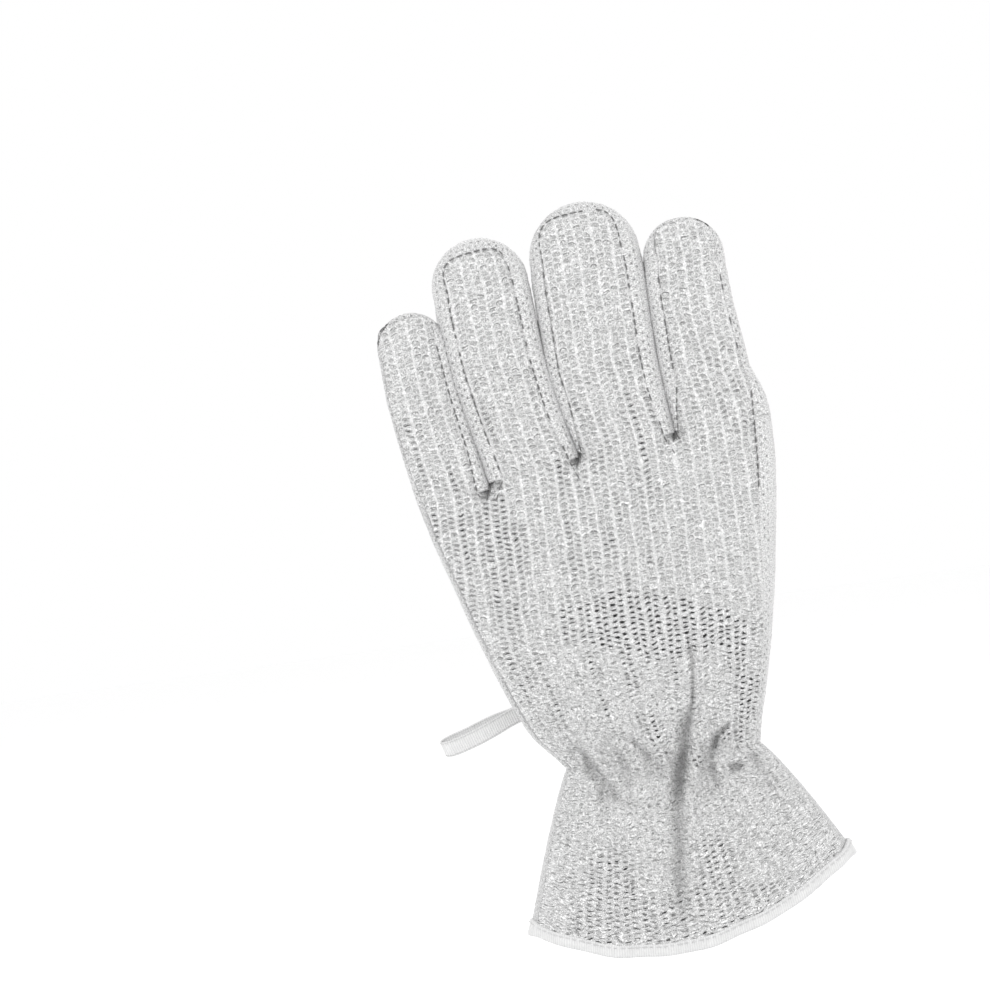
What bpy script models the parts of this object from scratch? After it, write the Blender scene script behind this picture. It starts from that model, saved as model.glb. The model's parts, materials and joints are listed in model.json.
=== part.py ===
"""A knitted household glove for the left hand, with the fingers up.

+Z runs along the fingers, the back of the hand faces -Y and the thumb is on the +X side.
The origin is at the middle of the wrist, where the elastic gathers the glove.
Each tube of fabric is four panels: a back, a palm and a side strip down each edge.
"""
import math

import bpy
from mathutils import Matrix, Vector

MM = 0.001

# Fabric
FABRIC = 1.2          # thickness of the knitted fabric
GAP = 0.3             # clear space between neighbouring panels
JOINT_GAP = 0.4       # clear space on each side of a joint's plane
ROUNDNESS = 2.6       # exponent of a finger's oval section
PLATEAU = 1.03        # how far a section is raised before it is cut off flat
ACROSS = 8            # faces across a finger's panel
AROUND = 6            # faces around a side strip
CAP_STEPS = 6         # faces from the start of a rounded end to its top
CAP_CLEAR = 0.04      # radians left open at the top of a rounded end
SHARP_ANGLE = 40.0    # degrees between two faces, from which their edge is sharp

# Fingers: foot of the centre line, lean towards the little finger's side, length to the tip,
# half width and half thickness at the foot and at the tip, and the strip's visible width
FINGERS = {
    "little_finger": dict(
        foot=(-62.0, 99.0), lean=5.4, length=66.3, wide=(13.6, 12.6), deep=(7.6, 6.6), strip=4.2),
    "ring_finger": dict(
        foot=(-31.0, 105.0), lean=7.9, length=83.2, wide=(15.9, 15.5), deep=(8.4, 7.4), strip=4.8),
    "middle_finger": dict(
        foot=(2.4, 110.0), lean=3.5, length=85.3, wide=(16.6, 17.8), deep=(8.8, 7.8), strip=5.2),
    "index_finger": dict(
        foot=(35.6, 112.4), lean=2.6, length=73.8, wide=(15.8, 13.9), deep=(8.6, 7.4), strip=4.8),
}
KNUCKLES = (0.0, 0.43, 0.72)   # places of the three joints along a finger
FINGER_ROWS = 3                # faces along one length of a finger

# Thumb, folded flat behind the palm
THUMB_FOOT = (27.5, 33.0)
THUMB_DEPTH = 20.6
THUMB_LEAN = -10.0
THUMB_LENGTH = 70.0
THUMB_WIDE = (14.0, 12.8)
THUMB_DEEP = (6.4, 6.0)
THUMB_STRIP = 4.6
THUMB_KNUCKLE = 0.5
THUMB_HOLE = 7.0       # radius of the way from the hand into the thumb
THUMB_WAY = (6.0, 22.0)        # the way's two ends, by depth
CUTTER_SIDES = 24

# Hand: height, centre, half width and half thickness of its sections
HAND_SECTIONS = (
    (0.4, 0.0, 33.6, 10.0),
    (10.0, -4.2, 40.0, 11.2),
    (22.0, -4.8, 44.2, 12.4),
    (36.0, -6.0, 48.6, 13.0),
    (54.0, -7.0, 53.4, 13.0),
    (78.0, -9.2, 59.6, 13.0),
    (92.0, -10.8, 62.6, 11.6),
    (96.0, -11.2, 63.4, 11.0),
    (116.0, -12.0, 65.0, 9.2),
)
HAND_ROUNDNESS = 3.4
HAND_STRIP = 7.0
HAND_ACROSS = 26
HAND_LEVELS = (0.0, 0.1, 0.22, 0.36, 0.5, 0.6, 0.7, 0.8, 0.9, 1.0)

# Cuff
CUFF_TOP = (0.0, 33.6, 10.0)      # centre, half width and half thickness under the wrist
CUFF_HEM = (3.3, 57.6, 19.0)
CUFF_ROUNDNESS = 2.4
HEM_DROP = 65.5        # depth of the hem at its middle
HEM_RISE = 17.0        # rise of the hem from its middle to its corners
HEM_SLANT = 6.5        # the thumb's corner is higher than the little finger's by twice this
CUFF_FLARE = 0.85      # below 1 the cuff opens quickly under the elastic
CUFF_ROWS = 5
CUFF_AROUND = 24
CUFF_SPLIT = 0.008     # radians from a side seam to each half of the cuff

# Hem tape, folded over the edge of the cuff
TAPE_WIDTH = 4.2
TAPE_THICK = 0.5
TAPE_AROUND = 56

# Elastic inside the wrist
ELASTIC_LOW, ELASTIC_HIGH = 1.2, 7.2
ELASTIC_CLEAR = 1.0    # clear space between the fabric and the elastic
ELASTIC_THICK = 0.9
ELASTIC_AROUND = 32

# Hanging loop of ribbon
LOOP_SEAM = (-45.0, 13.2, 21.0)
LOOP_LENGTH = 33.0
LOOP_DROP = 17.0       # degrees below level
LOOP_OPEN = 3.2        # half of its opening
RIBBON_WIDTH = 6.0
RIBBON_THICK = 0.6
RIBBON_CLEAR = 0.05    # half of the clear space between the ribbon's two sewn ends
LOOP_SPREAD = 0.625    # part of the loop's length over which it opens
LOOP_STEPS = 8
TACK_SIZE = (3.0, 0.8, 6.4)


def clear_objects():
    for item in list(bpy.data.objects):
        bpy.data.objects.remove(item, do_unlink=True)


def plain_material(name, colour, roughness, metallic):
    material = bpy.data.materials.new(name)
    material.use_nodes = True
    shader = material.node_tree.nodes["Principled BSDF"]
    shader.inputs["Base Color"].default_value = (*colour, 1.0)
    shader.inputs["Roughness"].default_value = roughness
    shader.inputs["Metallic"].default_value = metallic
    material.diffuse_color = (*colour, 1.0)
    return material


def knit_material(name):
    return plain_material(name, (0.70, 0.71, 0.73), 0.42, 0.55)


def tape_material(name):
    return plain_material(name, (0.88, 0.89, 0.91), 0.70, 0.0)


def elastic_material(name):
    return plain_material(name, (0.82, 0.82, 0.84), 0.80, 0.0)


def thread_material(name):
    return plain_material(name, (0.30, 0.30, 0.32), 0.60, 0.0)


def pivot(name, place, parent=None):
    """An empty on a joint's axis, which carries the pieces that turn with the joint."""
    empty = bpy.data.objects.new(name, None)
    bpy.context.collection.objects.link(empty)
    empty.empty_display_size = 0.01
    origin = Vector((0.0, 0.0, 0.0))
    if parent is not None:
        empty.parent = parent
        origin = Vector(parent["place"])
    empty.location = Vector(place) - origin
    empty["place"] = tuple(place)
    return empty


def closed_body(name, points, faces, material, carrier):
    """One closed body from points in millimetres, whose faces point out."""
    origin = Vector(carrier["place"]) if carrier is not None else Vector((0.0, 0.0, 0.0))
    mesh = bpy.data.meshes.new(name)
    mesh.from_pydata([Vector(p) * MM - origin for p in points], [], faces)
    mesh.update()
    thing = bpy.data.objects.new(name, mesh)
    bpy.context.collection.objects.link(thing)
    if signed_volume(mesh) < 0:
        mesh.flip_normals()
    mesh.shade_smooth()
    mesh.set_sharp_from_angle(angle=math.radians(SHARP_ANGLE))
    mesh.materials.append(material)
    thing.parent = carrier
    return thing


def lattice_solid(name, outer, inner, material, carrier, closed=False):
    """One closed body between two lattices of points."""
    rows, columns = len(outer), len(outer[0])
    points = [p for row in outer for p in row] + [p for row in inner for p in row]
    shift = rows * columns
    spans = columns if closed else columns - 1
    faces = []
    for i in range(rows - 1):
        for j in range(spans):
            a = i * columns + j
            b = i * columns + (j + 1) % columns
            c, d = b + columns, a + columns
            faces.append((a, b, c, d))
            faces.append((d + shift, c + shift, b + shift, a + shift))
    for j in range(spans):
        a, b = j, (j + 1) % columns
        faces.append((b, a, a + shift, b + shift))
        a, b = a + (rows - 1) * columns, b + (rows - 1) * columns
        faces.append((a, b, b + shift, a + shift))
    if not closed:
        for i in range(rows - 1):
            a, b = i * columns, (i + 1) * columns
            faces.append((a, b, b + shift, a + shift))
            a, b = a + columns - 1, b + columns - 1
            faces.append((b, a, a + shift, b + shift))
    return closed_body(name, points, faces, material, carrier)


def signed_volume(mesh):
    mesh.calc_loop_triangles()
    total = 0.0
    for triangle in mesh.loop_triangles:
        a, b, c = (mesh.vertices[i].co for i in triangle.vertices)
        total += a.dot(b.cross(c))
    return total


def spread(start, end, steps):
    return [start + (end - start) * k / steps for k in range(steps + 1)]


def mix(pair, part):
    return pair[0] + (pair[1] - pair[0]) * part


def oval(part, roundness):
    """Height of an oval section, 1 at its middle and 0 at its edge, flat on top."""
    rest = max(0.0, 1.0 - min(1.0, abs(part)) ** roundness)
    return min(1.0, PLATEAU * rest ** (1.0 / roundness))


class Tube:
    """A finger's or the thumb's tube of fabric, in its own frame: across, deep and along."""

    def __init__(self, foot, lean, length, wide, deep, strip, depth=0.0):
        self.foot = Vector((foot[0], depth, foot[1]))
        angle = math.radians(lean)
        self.along = Vector((-math.sin(angle), 0.0, math.cos(angle)))
        self.across = Vector((math.cos(angle), 0.0, math.sin(angle)))
        self.length, self.wide, self.deep, self.strip = length, wide, deep, strip
        self.end = length - wide[1]

    def place(self, x, y, s):
        return self.foot + self.across * x + Vector((0.0, y, 0.0)) + self.along * s

    def size(self, s):
        part = min(1.0, max(0.0, s / self.end))
        return mix(self.wide, part), mix(self.deep, part)

    def height(self, x, s, inset):
        wide, deep = self.size(s)
        out = math.hypot(x, max(0.0, s - self.end) + min(0.0, s))
        return (deep - inset) * oval(out / (wide - inset), ROUNDNESS)

    def seam(self, s):
        """Half width of the back or palm panel at s."""
        wide = self.size(s)[0] - self.strip
        past = max(0.0, s - self.end) + min(0.0, s)
        return math.sqrt(max(0.0, wide * wide - past * past))

    def stations(self, start, stop, base_round=False):
        """Places along the tube where its panels have a row of points."""
        rows = []
        if base_round:
            reach = self.wide[0] - self.strip
            rows += [-reach * math.cos(a) for a in spread(CAP_CLEAR, math.pi / 2, CAP_STEPS)]
            start = 0.0
        if stop is None:
            rows += spread(start, self.end, FINGER_ROWS)[len(rows) > 0:]
            reach = self.wide[1] - self.strip
            turns = spread(0.0, math.pi / 2 - CAP_CLEAR, CAP_STEPS)[1:]
            rows += [self.end + reach * math.sin(a) for a in turns]
        else:
            rows += spread(start, stop, FINGER_ROWS - 1)[len(rows) > 0:]
        return rows

    def panel(self, name, side, start, stop, material, carrier, base_round=False):
        """The back (side -1) or palm (side +1) panel between two places along the tube."""
        sheets = []
        for inset in (0.0, FABRIC):
            sheet = []
            for s in self.stations(start, stop, base_round):
                half = self.seam(s)
                row = [self.place(x, side * self.height(x, s, inset), s) for x in spread(-half, half, ACROSS)]
                sheet.append(row)
            sheets.append(sheet)
        return lattice_solid(name, sheets[0], sheets[1], material, carrier)

    def strip_profile(self, s, inset):
        """Points around the tube's edge, from the palm's seam to the back's: out and deep."""
        wide, deep = self.size(s)
        near = (wide - self.strip + GAP) / (wide - inset)
        turn = math.acos(near ** (ROUNDNESS / 2))
        points = []
        for a in spread(-turn, turn, AROUND):
            out = (wide - inset) * math.cos(a) ** (2 / ROUNDNESS)
            points.append((out, math.copysign(self.height(out, max(0.0, min(s, self.end)), inset), a)))
        return points

    def side(self, name, sign, start, stop, material, carrier):
        """A side strip on one edge of the tube."""
        sheets = []
        for inset in (0.0, FABRIC):
            sheet = []
            for s in spread(start, stop, FINGER_ROWS - 1):
                sheet.append([self.place(sign * out, y, s) for out, y in self.strip_profile(s, inset)])
            sheets.append(sheet)
        return lattice_solid(name, sheets[0], sheets[1], material, carrier)

    def end_band(self, name, edge, at_tip, material, carrier):
        """The strip that runs up one edge, round the tube's end and down the other."""
        centre = self.end if at_tip else 0.0
        turn_way = 1.0 if at_tip else -1.0
        sheets = []
        for inset in (0.0, FABRIC):
            sheet = [[self.place(-out, y, edge) for out, y in self.strip_profile(edge, inset)]]
            profile = self.strip_profile(centre, inset)
            for a in spread(-math.pi / 2, math.pi / 2, 2 * CAP_STEPS):
                row = []
                for out, y in profile:
                    row.append(self.place(out * math.sin(a), y, centre + turn_way * out * math.cos(a)))
                sheet.append(row)
            sheet.append([self.place(out, y, edge) for out, y in self.strip_profile(edge, inset)])
            sheets.append(sheet)
        return lattice_solid(name, sheets[0], sheets[1], material, carrier)

    def axis_place(self, s):
        """The point of a flexing joint's axis, on the palm side's surface."""
        return self.place(0.0, self.size(s)[1], s) * MM


def finger(name, values, knit):
    tube = Tube(**values)
    marks = [part * tube.length for part in KNUCKLES]
    carrier = None
    for number, start in enumerate(marks):
        carrier = pivot(f"{name}_joint_{number + 1}", tube.axis_place(start), carrier)
        low = start + JOINT_GAP
        if number + 1 < len(marks):
            high = marks[number + 1] - JOINT_GAP
            title = f"{name}_{('base', 'mid')[number]}"
            tube.panel(f"{title}_back", -1, low, high, knit, carrier)
            tube.panel(f"{title}_palm", 1, low, high, knit, carrier)
            tube.side(f"{title}_strip_outer", -1, low, high, knit, carrier)
            tube.side(f"{title}_strip_inner", 1, low, high, knit, carrier)
        else:
            tube.panel(f"{name}_tip_back", -1, low, None, knit, carrier)
            tube.panel(f"{name}_tip_palm", 1, low, None, knit, carrier)
            tube.end_band(f"{name}_tip_strip", low, True, knit, carrier)


def thumb_way_cutter():
    """A guide that cuts the round way along Y into the thumb; it isn't part of the glove."""
    near, far = THUMB_WAY
    place = Vector((THUMB_FOOT[0], (near + far) / 2, THUMB_FOOT[1])) * MM
    bpy.ops.mesh.primitive_cylinder_add(
        vertices=CUTTER_SIDES, radius=THUMB_HOLE * MM, depth=(far - near) * MM)
    cutter = bpy.context.object
    cutter.name = "thumb_way"
    cutter.matrix_world = Matrix.Translation(place) @ Matrix.Rotation(math.pi / 2, 4, "X")
    cutter.hide_render = True
    cutter.display_type = "WIRE"
    return cutter


def cut(thing, cutter):
    difference = thing.modifiers.new("way through", "BOOLEAN")
    difference.operation = "DIFFERENCE"
    difference.solver = "EXACT"
    difference.object = cutter


def thumb(knit, cutter):
    tube = Tube(THUMB_FOOT, THUMB_LEAN, THUMB_LENGTH, THUMB_WIDE, THUMB_DEEP, THUMB_STRIP, THUMB_DEPTH)
    knuckle = THUMB_KNUCKLE * THUMB_LENGTH
    base = pivot("thumb_joint_1", tube.place(0.0, 0.0, 0.0) * MM)
    low, high = knuckle - JOINT_GAP, knuckle + JOINT_GAP
    tube.panel("thumb_base_outer", 1, 0.0, low, knit, base, base_round=True)
    inner = tube.panel("thumb_base_inner", -1, 0.0, low, knit, base, base_round=True)
    cut(inner, cutter)
    tube.end_band("thumb_base_strip", low, False, knit, base)
    tip = pivot("thumb_joint_2", tube.axis_place(knuckle), base)
    tube.panel("thumb_tip_outer", 1, high, None, knit, tip)
    tube.panel("thumb_tip_inner", -1, high, None, knit, tip)
    tube.end_band("thumb_tip_strip", high, True, knit, tip)


def hand_section(z):
    """Centre, half width and half thickness of the hand at a height."""
    for low, high in zip(HAND_SECTIONS, HAND_SECTIONS[1:]):
        if z <= high[0]:
            part = (z - low[0]) / (high[0] - low[0])
            return [mix((a, b), part) for a, b in zip(low[1:], high[1:])]
    return HAND_SECTIONS[-1][1:]


def hand_top(x):
    """Height of the hand's upper edge, just under the fingers' feet."""
    corners = []
    for values in FINGERS.values():
        tube = Tube(**values)
        for reach in (-tube.wide[0], tube.wide[0]):
            corner = tube.place(reach, 0.0, -JOINT_GAP)
            corners.append((corner.x, corner.z))
    if x <= corners[0][0]:
        return corners[0][1]
    for (x0, z0), (x1, z1) in zip(corners, corners[1:]):
        if x <= x1:
            return z0 + (z1 - z0) * (x - x0) / (x1 - x0)
    return corners[-1][1]


def hand_point(part, level, side, inset):
    """A point of the back or palm panel; level runs from 0 at the wrist to 1 at the fingers."""
    wrist = HAND_SECTIONS[0][0]
    z = wrist
    for _ in range(4):
        centre, wide, deep = hand_section(z)
        x = centre + part * (wide - HAND_STRIP)
        z = mix((wrist, hand_top(x)), level)
    centre, wide, deep = hand_section(z)
    x = centre + part * (wide - HAND_STRIP)
    y = (deep - inset) * oval((x - centre) / (wide - inset), HAND_ROUNDNESS)
    return Vector((x, side * y, z))


def hand_panel(name, side, knit):
    sheets = []
    columns = spread(-1.0, 1.0, HAND_ACROSS)
    for inset in (0.0, FABRIC):
        sheets.append([[hand_point(p, level, side, inset) for p in columns] for level in HAND_LEVELS])
    return lattice_solid(name, sheets[0], sheets[1], knit, None)


def hand_side(name, sign, knit):
    """The strip down one edge of the hand, from under the finger to the wrist."""
    top = hand_top(sign * math.inf)
    sheets = []
    for inset in (0.0, FABRIC):
        sheet = []
        for z in spread(HAND_SECTIONS[0][0], top, len(HAND_LEVELS) - 1):
            centre, wide, deep = hand_section(z)
            near = (wide - HAND_STRIP + GAP) / (wide - inset)
            turn = math.acos(near ** (HAND_ROUNDNESS / 2))
            row = []
            for a in spread(-turn, turn, AROUND):
                out = (wide - inset) * math.cos(a) ** (2 / HAND_ROUNDNESS)
                y = (deep - inset) * oval(out / (wide - inset), HAND_ROUNDNESS)
                row.append(Vector((centre + sign * out, math.copysign(y, a), z)))
            sheet.append(row)
        sheets.append(sheet)
    return lattice_solid(name, sheets[0], sheets[1], knit, None)


def ring_point(wide, deep, centre, turn, roundness):
    c, s = math.cos(turn), math.sin(turn)
    x = centre + wide * math.copysign(abs(c) ** (2 / roundness), c)
    y = deep * math.copysign(abs(s) ** (2 / roundness), s)
    return x, y


def wrist_elastic(material):
    """A closed band of elastic that lies against the inside of the wrist."""
    sheets = []
    for inset in (FABRIC + ELASTIC_CLEAR, FABRIC + ELASTIC_CLEAR + ELASTIC_THICK):
        sheet = []
        for z in (ELASTIC_LOW, ELASTIC_HIGH):
            centre, wide, deep = hand_section(z)
            row = []
            for k in range(ELASTIC_AROUND):
                turn = 2 * math.pi * k / ELASTIC_AROUND
                x, y = ring_point(wide - inset, deep - inset, centre, turn, HAND_ROUNDNESS)
                row.append(Vector((x, y, z)))
            sheet.append(row)
        sheets.append(sheet)
    return lattice_solid("wrist_elastic", sheets[0], sheets[1], material, None, closed=True)


def cuff_point(turn, level, inset, above_hem=0.0):
    """A point of the cuff; level runs from 0 under the wrist to 1 at the hem."""
    flare = level ** CUFF_FLARE
    centre, wide, deep = (mix(pair, flare) for pair in zip(CUFF_TOP, CUFF_HEM))
    x, y = ring_point(wide - inset, deep - inset, centre, turn, CUFF_ROUNDNESS)
    part = (x - centre) / wide
    hem = -HEM_DROP + HEM_RISE * part * part + HEM_SLANT * part + above_hem
    return Vector((x, y, mix((-JOINT_GAP, hem), level)))


def cuff_half(name, side, knit, carrier):
    """Half of the cuff, between the two side seams."""
    turns = spread(CUFF_SPLIT, math.pi - CUFF_SPLIT, CUFF_AROUND)
    if side < 0:
        turns = [-t for t in turns]
    sheets = []
    for inset in (0.0, FABRIC):
        sheet = []
        for level in spread(0.0, 1.0, CUFF_ROWS):
            sheet.append([cuff_point(t, level, inset, TAPE_THICK + GAP) for t in turns])
        sheets.append(sheet)
    return lattice_solid(name, sheets[0], sheets[1], knit, carrier)


def hem_tape(material, carrier):
    """A tape folded over the cuff's edge: outside, under and inside, as one closed ring."""
    reach = TAPE_WIDTH / HEM_DROP
    outer_in, inner_in = -GAP, FABRIC + GAP
    folds = (
        (1.0 - reach, outer_in - TAPE_THICK, 0.0),
        (1.0, outer_in - TAPE_THICK, 0.0),
        (1.0, inner_in + TAPE_THICK, 0.0),
        (1.0 - reach, inner_in + TAPE_THICK, 0.0),
        (1.0 - reach, inner_in, 0.0),
        (1.0, inner_in, TAPE_THICK),
        (1.0, outer_in, TAPE_THICK),
        (1.0 - reach, outer_in, 0.0),
    )
    turns = [2 * math.pi * k / TAPE_AROUND for k in range(TAPE_AROUND)]
    points = []
    for turn in turns:
        for level, inset, lift in folds:
            points.append(cuff_point(turn, level, inset, lift))
    count = len(folds)
    faces = []
    for k in range(TAPE_AROUND):
        for f in range(count):
            a, b = k * count + f, k * count + (f + 1) % count
            c, d = (b + count) % len(points), (a + count) % len(points)
            faces.append((a, b, c, d))
    return closed_body("hem_tape", points, faces, material, carrier)


def cuff(knit, tape):
    axis = pivot("cuff_joint", (0.0, CUFF_TOP[2] * MM, 0.0))
    cuff_half("cuff_back", -1, knit, axis)
    cuff_half("cuff_palm", 1, knit, axis)
    hem_tape(tape, axis)


def hanging_loop(tape, thread):
    """A folded ribbon, open like a drop, and the block of stitches that holds its ends."""
    seam = Vector(LOOP_SEAM)
    drop = math.radians(LOOP_DROP)
    out = Vector((-math.cos(drop), 0.0, -math.sin(drop)))
    up = Vector((-math.sin(drop), 0.0, math.cos(drop)))
    carrier = pivot("loop_joint", seam * MM)
    bend = LOOP_LENGTH - LOOP_OPEN - RIBBON_THICK
    turn_radius = LOOP_OPEN + RIBBON_THICK / 2
    route = []
    for part in spread(0.0, 1.0, LOOP_STEPS)[:-1]:
        ease = 0.5 - 0.5 * math.cos(math.pi * min(1.0, part / LOOP_SPREAD))
        route.append((bend * part, mix((RIBBON_THICK / 2 + RIBBON_CLEAR, turn_radius), ease)))
    for a in spread(0.0, math.pi / 2, LOOP_STEPS // 2):
        route.append((bend + turn_radius * math.sin(a), turn_radius * math.cos(a)))
    route += [(s, -y) for s, y in reversed(route[:-1])]
    centre = []
    for k, (s, y) in enumerate(route):
        s0, y0 = route[max(0, k - 1)]
        s1, y1 = route[min(len(route) - 1, k + 1)]
        length = math.hypot(s1 - s0, y1 - y0)
        centre.append((s, y, -(y1 - y0) / length, (s1 - s0) / length))
    sheets = []
    for offset in (RIBBON_THICK / 2, -RIBBON_THICK / 2):
        sheet = []
        for height in (-RIBBON_WIDTH / 2, RIBBON_WIDTH / 2):
            row = []
            for s, y, ns, ny in centre:
                place = seam + out * (s + ns * offset) + up * height
                place.y += y + ny * offset
                row.append(place)
            sheet.append(row)
        sheets.append(sheet)
    lattice_solid("hanging_loop", sheets[0], sheets[1], tape, carrier)
    loop_tack(seam, out, up, thread)


def loop_tack(seam, out, up, thread):
    """The block of stitches over the loop's sewn ends, on the side away from the hand."""
    depth = seam.y + RIBBON_THICK + RIBBON_CLEAR + GAP
    sheets = []
    for y in (depth + TACK_SIZE[1], depth):
        sheet = []
        for height in (-TACK_SIZE[2] / 2, TACK_SIZE[2] / 2):
            row = []
            for s in (-TACK_SIZE[0] / 2, TACK_SIZE[0] / 2):
                place = seam + out * s + up * height
                place.y = y
                row.append(place)
            sheet.append(row)
        sheets.append(sheet)
    return lattice_solid("loop_tack", sheets[0], sheets[1], thread, None)


def build():
    clear_objects()
    knit = knit_material("knitted silver fabric")
    tape = tape_material("woven white tape")
    for name, values in FINGERS.items():
        finger(name, values, knit)
    way = thumb_way_cutter()
    hand_panel("hand_back", -1, knit)
    palm = hand_panel("hand_palm", 1, knit)
    cut(palm, way)
    thumb(knit, way)
    hand_side("hand_strip_outer", -1, knit)
    hand_side("hand_strip_inner", 1, knit)
    wrist_elastic(elastic_material("white elastic"))
    cuff(knit, tape)
    hanging_loop(tape, thread_material("grey thread"))


build()
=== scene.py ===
"""Looks of a left-hand glove knitted from silver metallic yarn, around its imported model.

Everything is worked out in millimetres in the model's frame: +Z along the fingers, the back of
the hand faces -Y and the thumb is on the +X side. Meshes are made in metres.
"""
import json
import math

import bpy
import numpy as np
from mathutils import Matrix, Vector


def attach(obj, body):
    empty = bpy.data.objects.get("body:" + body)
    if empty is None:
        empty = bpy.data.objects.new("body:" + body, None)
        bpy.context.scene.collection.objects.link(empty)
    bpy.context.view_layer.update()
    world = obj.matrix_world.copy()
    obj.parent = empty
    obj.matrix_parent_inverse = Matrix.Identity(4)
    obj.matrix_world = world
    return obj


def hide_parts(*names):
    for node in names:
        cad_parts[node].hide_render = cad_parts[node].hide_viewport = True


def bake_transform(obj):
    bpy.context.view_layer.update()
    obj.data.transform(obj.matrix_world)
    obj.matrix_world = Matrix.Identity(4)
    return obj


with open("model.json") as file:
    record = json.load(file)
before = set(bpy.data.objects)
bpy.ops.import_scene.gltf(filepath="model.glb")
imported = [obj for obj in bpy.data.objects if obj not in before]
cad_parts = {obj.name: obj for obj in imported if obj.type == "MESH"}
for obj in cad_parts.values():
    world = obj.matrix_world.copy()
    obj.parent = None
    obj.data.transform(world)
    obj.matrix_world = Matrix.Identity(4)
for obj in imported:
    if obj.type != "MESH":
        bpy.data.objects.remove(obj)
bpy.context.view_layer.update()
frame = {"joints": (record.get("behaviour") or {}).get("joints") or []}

MM = 0.001
PALMWARD = np.array((0.0, 1.0, 0.0))
JOINTS = {joint["name"]: joint for joint in frame["joints"]}

# Knit
WALE = 3.0             # from one column of stitches to the next
COURSE = 1.9           # from one row of stitches to the next, on the hand and the cuff
FINGER_COURSE = 2.15   # the same on the fingers, where the fabric is pulled long
STRETCH_FROM, STRETCH_TO = 85.0, 125.0     # the rows open from one to the other between these heights
ROW_SIZE = 2.0         # a row's usual size, for the shapes of its yarns
WALE_STEP = 0.5        # mesh step across the fabric
ROW_STEP = 0.42        # mesh step along it
STRIP_STEP = 0.5       # mesh step along the side strips
STRIP_ACROSS = np.linspace(-1, 1, 29)      # places across a side strip, from the palm's seam to the back's

# Tubes of the fingers and the thumb. A course gives, at places along the tube, how far its middle
# lies from the straight line between its joints, and its half width.
ROUNDNESS = 2.4
TIP_SQUARE = 4.0       # exponent of the panels' rounded ends
# Strips and crotch are the side strips' widths higher up and where they start; shown is how clearly
# the seams show on the left, over the tip and on the right.
FINGERS = {
    "little_finger": dict(
        length=66.3, tip_deep=6.6, strips=(0.4, 3.2), crotch=(1.4, 4.4), tip_strip=1.6,
        shown=(0.25, 0.0, 1.0),
        course=((0, 2.25, 12.65), (9, 1.6, 12.7), (23, 0.5, 12.5), (38, -0.3, 12.3), (55, 0.0, 11.7))),
    "ring_finger": dict(
        length=83.4, tip_deep=7.4, strips=(4.6, 5.2), crotch=(5.0, 3.6), tip_strip=4.4,
        shown=(1.0, 1.0, 1.0),
        course=((0, 0.0, 16.3), (20, -1.4, 16.3), (38, -2.2, 16.6), (60, -1.0, 16.8), (67, -0.3, 16.5))),
    "middle_finger": dict(
        length=85.4, tip_deep=7.8, strips=(3.8, 6.0), crotch=(1.0, 4.2), tip_strip=3.2,
        shown=(0.7, 1.0, 1.0),
        course=((0, 0.0, 17.1), (14, -1.8, 18.6), (28, -2.9, 19.3), (60, -1.5, 19.5), (67, -1.2, 18.9))),
    "index_finger": dict(
        length=72.8, tip_deep=7.4, strips=(4.2, 2.6), crotch=(1.2, 6.0), tip_strip=1.2,
        shown=(1.0, 0.0, 0.6),
        course=((0, 0.9, 16.9), (4, 0.8, 16.9), (8, 0.3, 16.8), (12, -0.4, 16.3), (15, -1.1, 15.7),
                (17, -1.5, 15.4), (25, -1.9, 15.2), (42, -2.3, 14.4), (54, -2.1, 14.1), (60, -1.4, 13.7))),
}
THUMB = dict(
    length=70.0, tip_deep=5.6, strips=(4.6, 4.6), crotch=(4.6, 4.6), tip_strip=4.2, shown=(1.0, 1.0, 1.0),
    course=((0, 0.0, 14.0), (30, 0.0, 13.8), (50, 0.0, 12.9)))
CROTCH_RUN = 18.0      # length over which a side strip changes from one width to the other
FORK_RUN = 8.0         # how far the seams beside a fork run on into the hand
SEAM_DEPTH = 0.9
SEAM_WIDTH = 0.75

# Hand: height, left edge, right edge, half thickness, and the right strip's visible width
HAND_TABLE = np.array((
    (0.0, -33.8, 34.0, 10.2, 1.6),
    (5.0, -37.6, 34.8, 10.8, 1.8),
    (11.0, -43.6, 36.4, 11.6, 2.0),
    (21.0, -48.4, 39.2, 12.4, 2.4),
    (36.0, -54.0, 42.9, 13.0, 3.2),
    (54.0, -60.0, 46.6, 13.2, 4.2),
    (70.0, -64.6, 49.2, 13.2, 5.6),
    (84.0, -68.9, 51.4, 12.6, 6.4),
    (98.0, -72.2, 53.0, 10.8, 6.4),
    (118.0, -76.9, 53.6, 9.0, 6.0),
))
HAND_ROUNDNESS = 3.2
LEFT_STRIP = 1.4
LEFT_GROOVE = 0.25     # how deep the back's side seams are below the fingers, as a part of the others
RIGHT_GROOVE = 0.3     # the same at the right, near the wrist
GATHER_TOP = 45.0      # below this height the elastic pulls the columns together
KNUCKLE_FADE = 20.0    # the fingers' rounding fades into the hand over this
VALLEY_FADE = 4.0      # and the valleys between them over this

# Cuff
CUFF_HEM = (3.3, 57.8, 19.2)      # centre, half width and half thickness at the hem
CUFF_ROUNDNESS = 2.4
CUFF_FLARE = 0.85
CUFF_STRIP = 0.024     # part of the cuff's half width that its side strips take on each face
HEM_DROP = 65.3        # length of the cuff in its middle
HEM_RISE = 17.0        # how much higher the hem's corners are
HEM_SLANT = 6.5        # and how much the hem rises to the right


def smooth_step(value):
    value = np.clip(value, 0.0, 1.0)
    return value * value * (3.0 - 2.0 * value)


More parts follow.
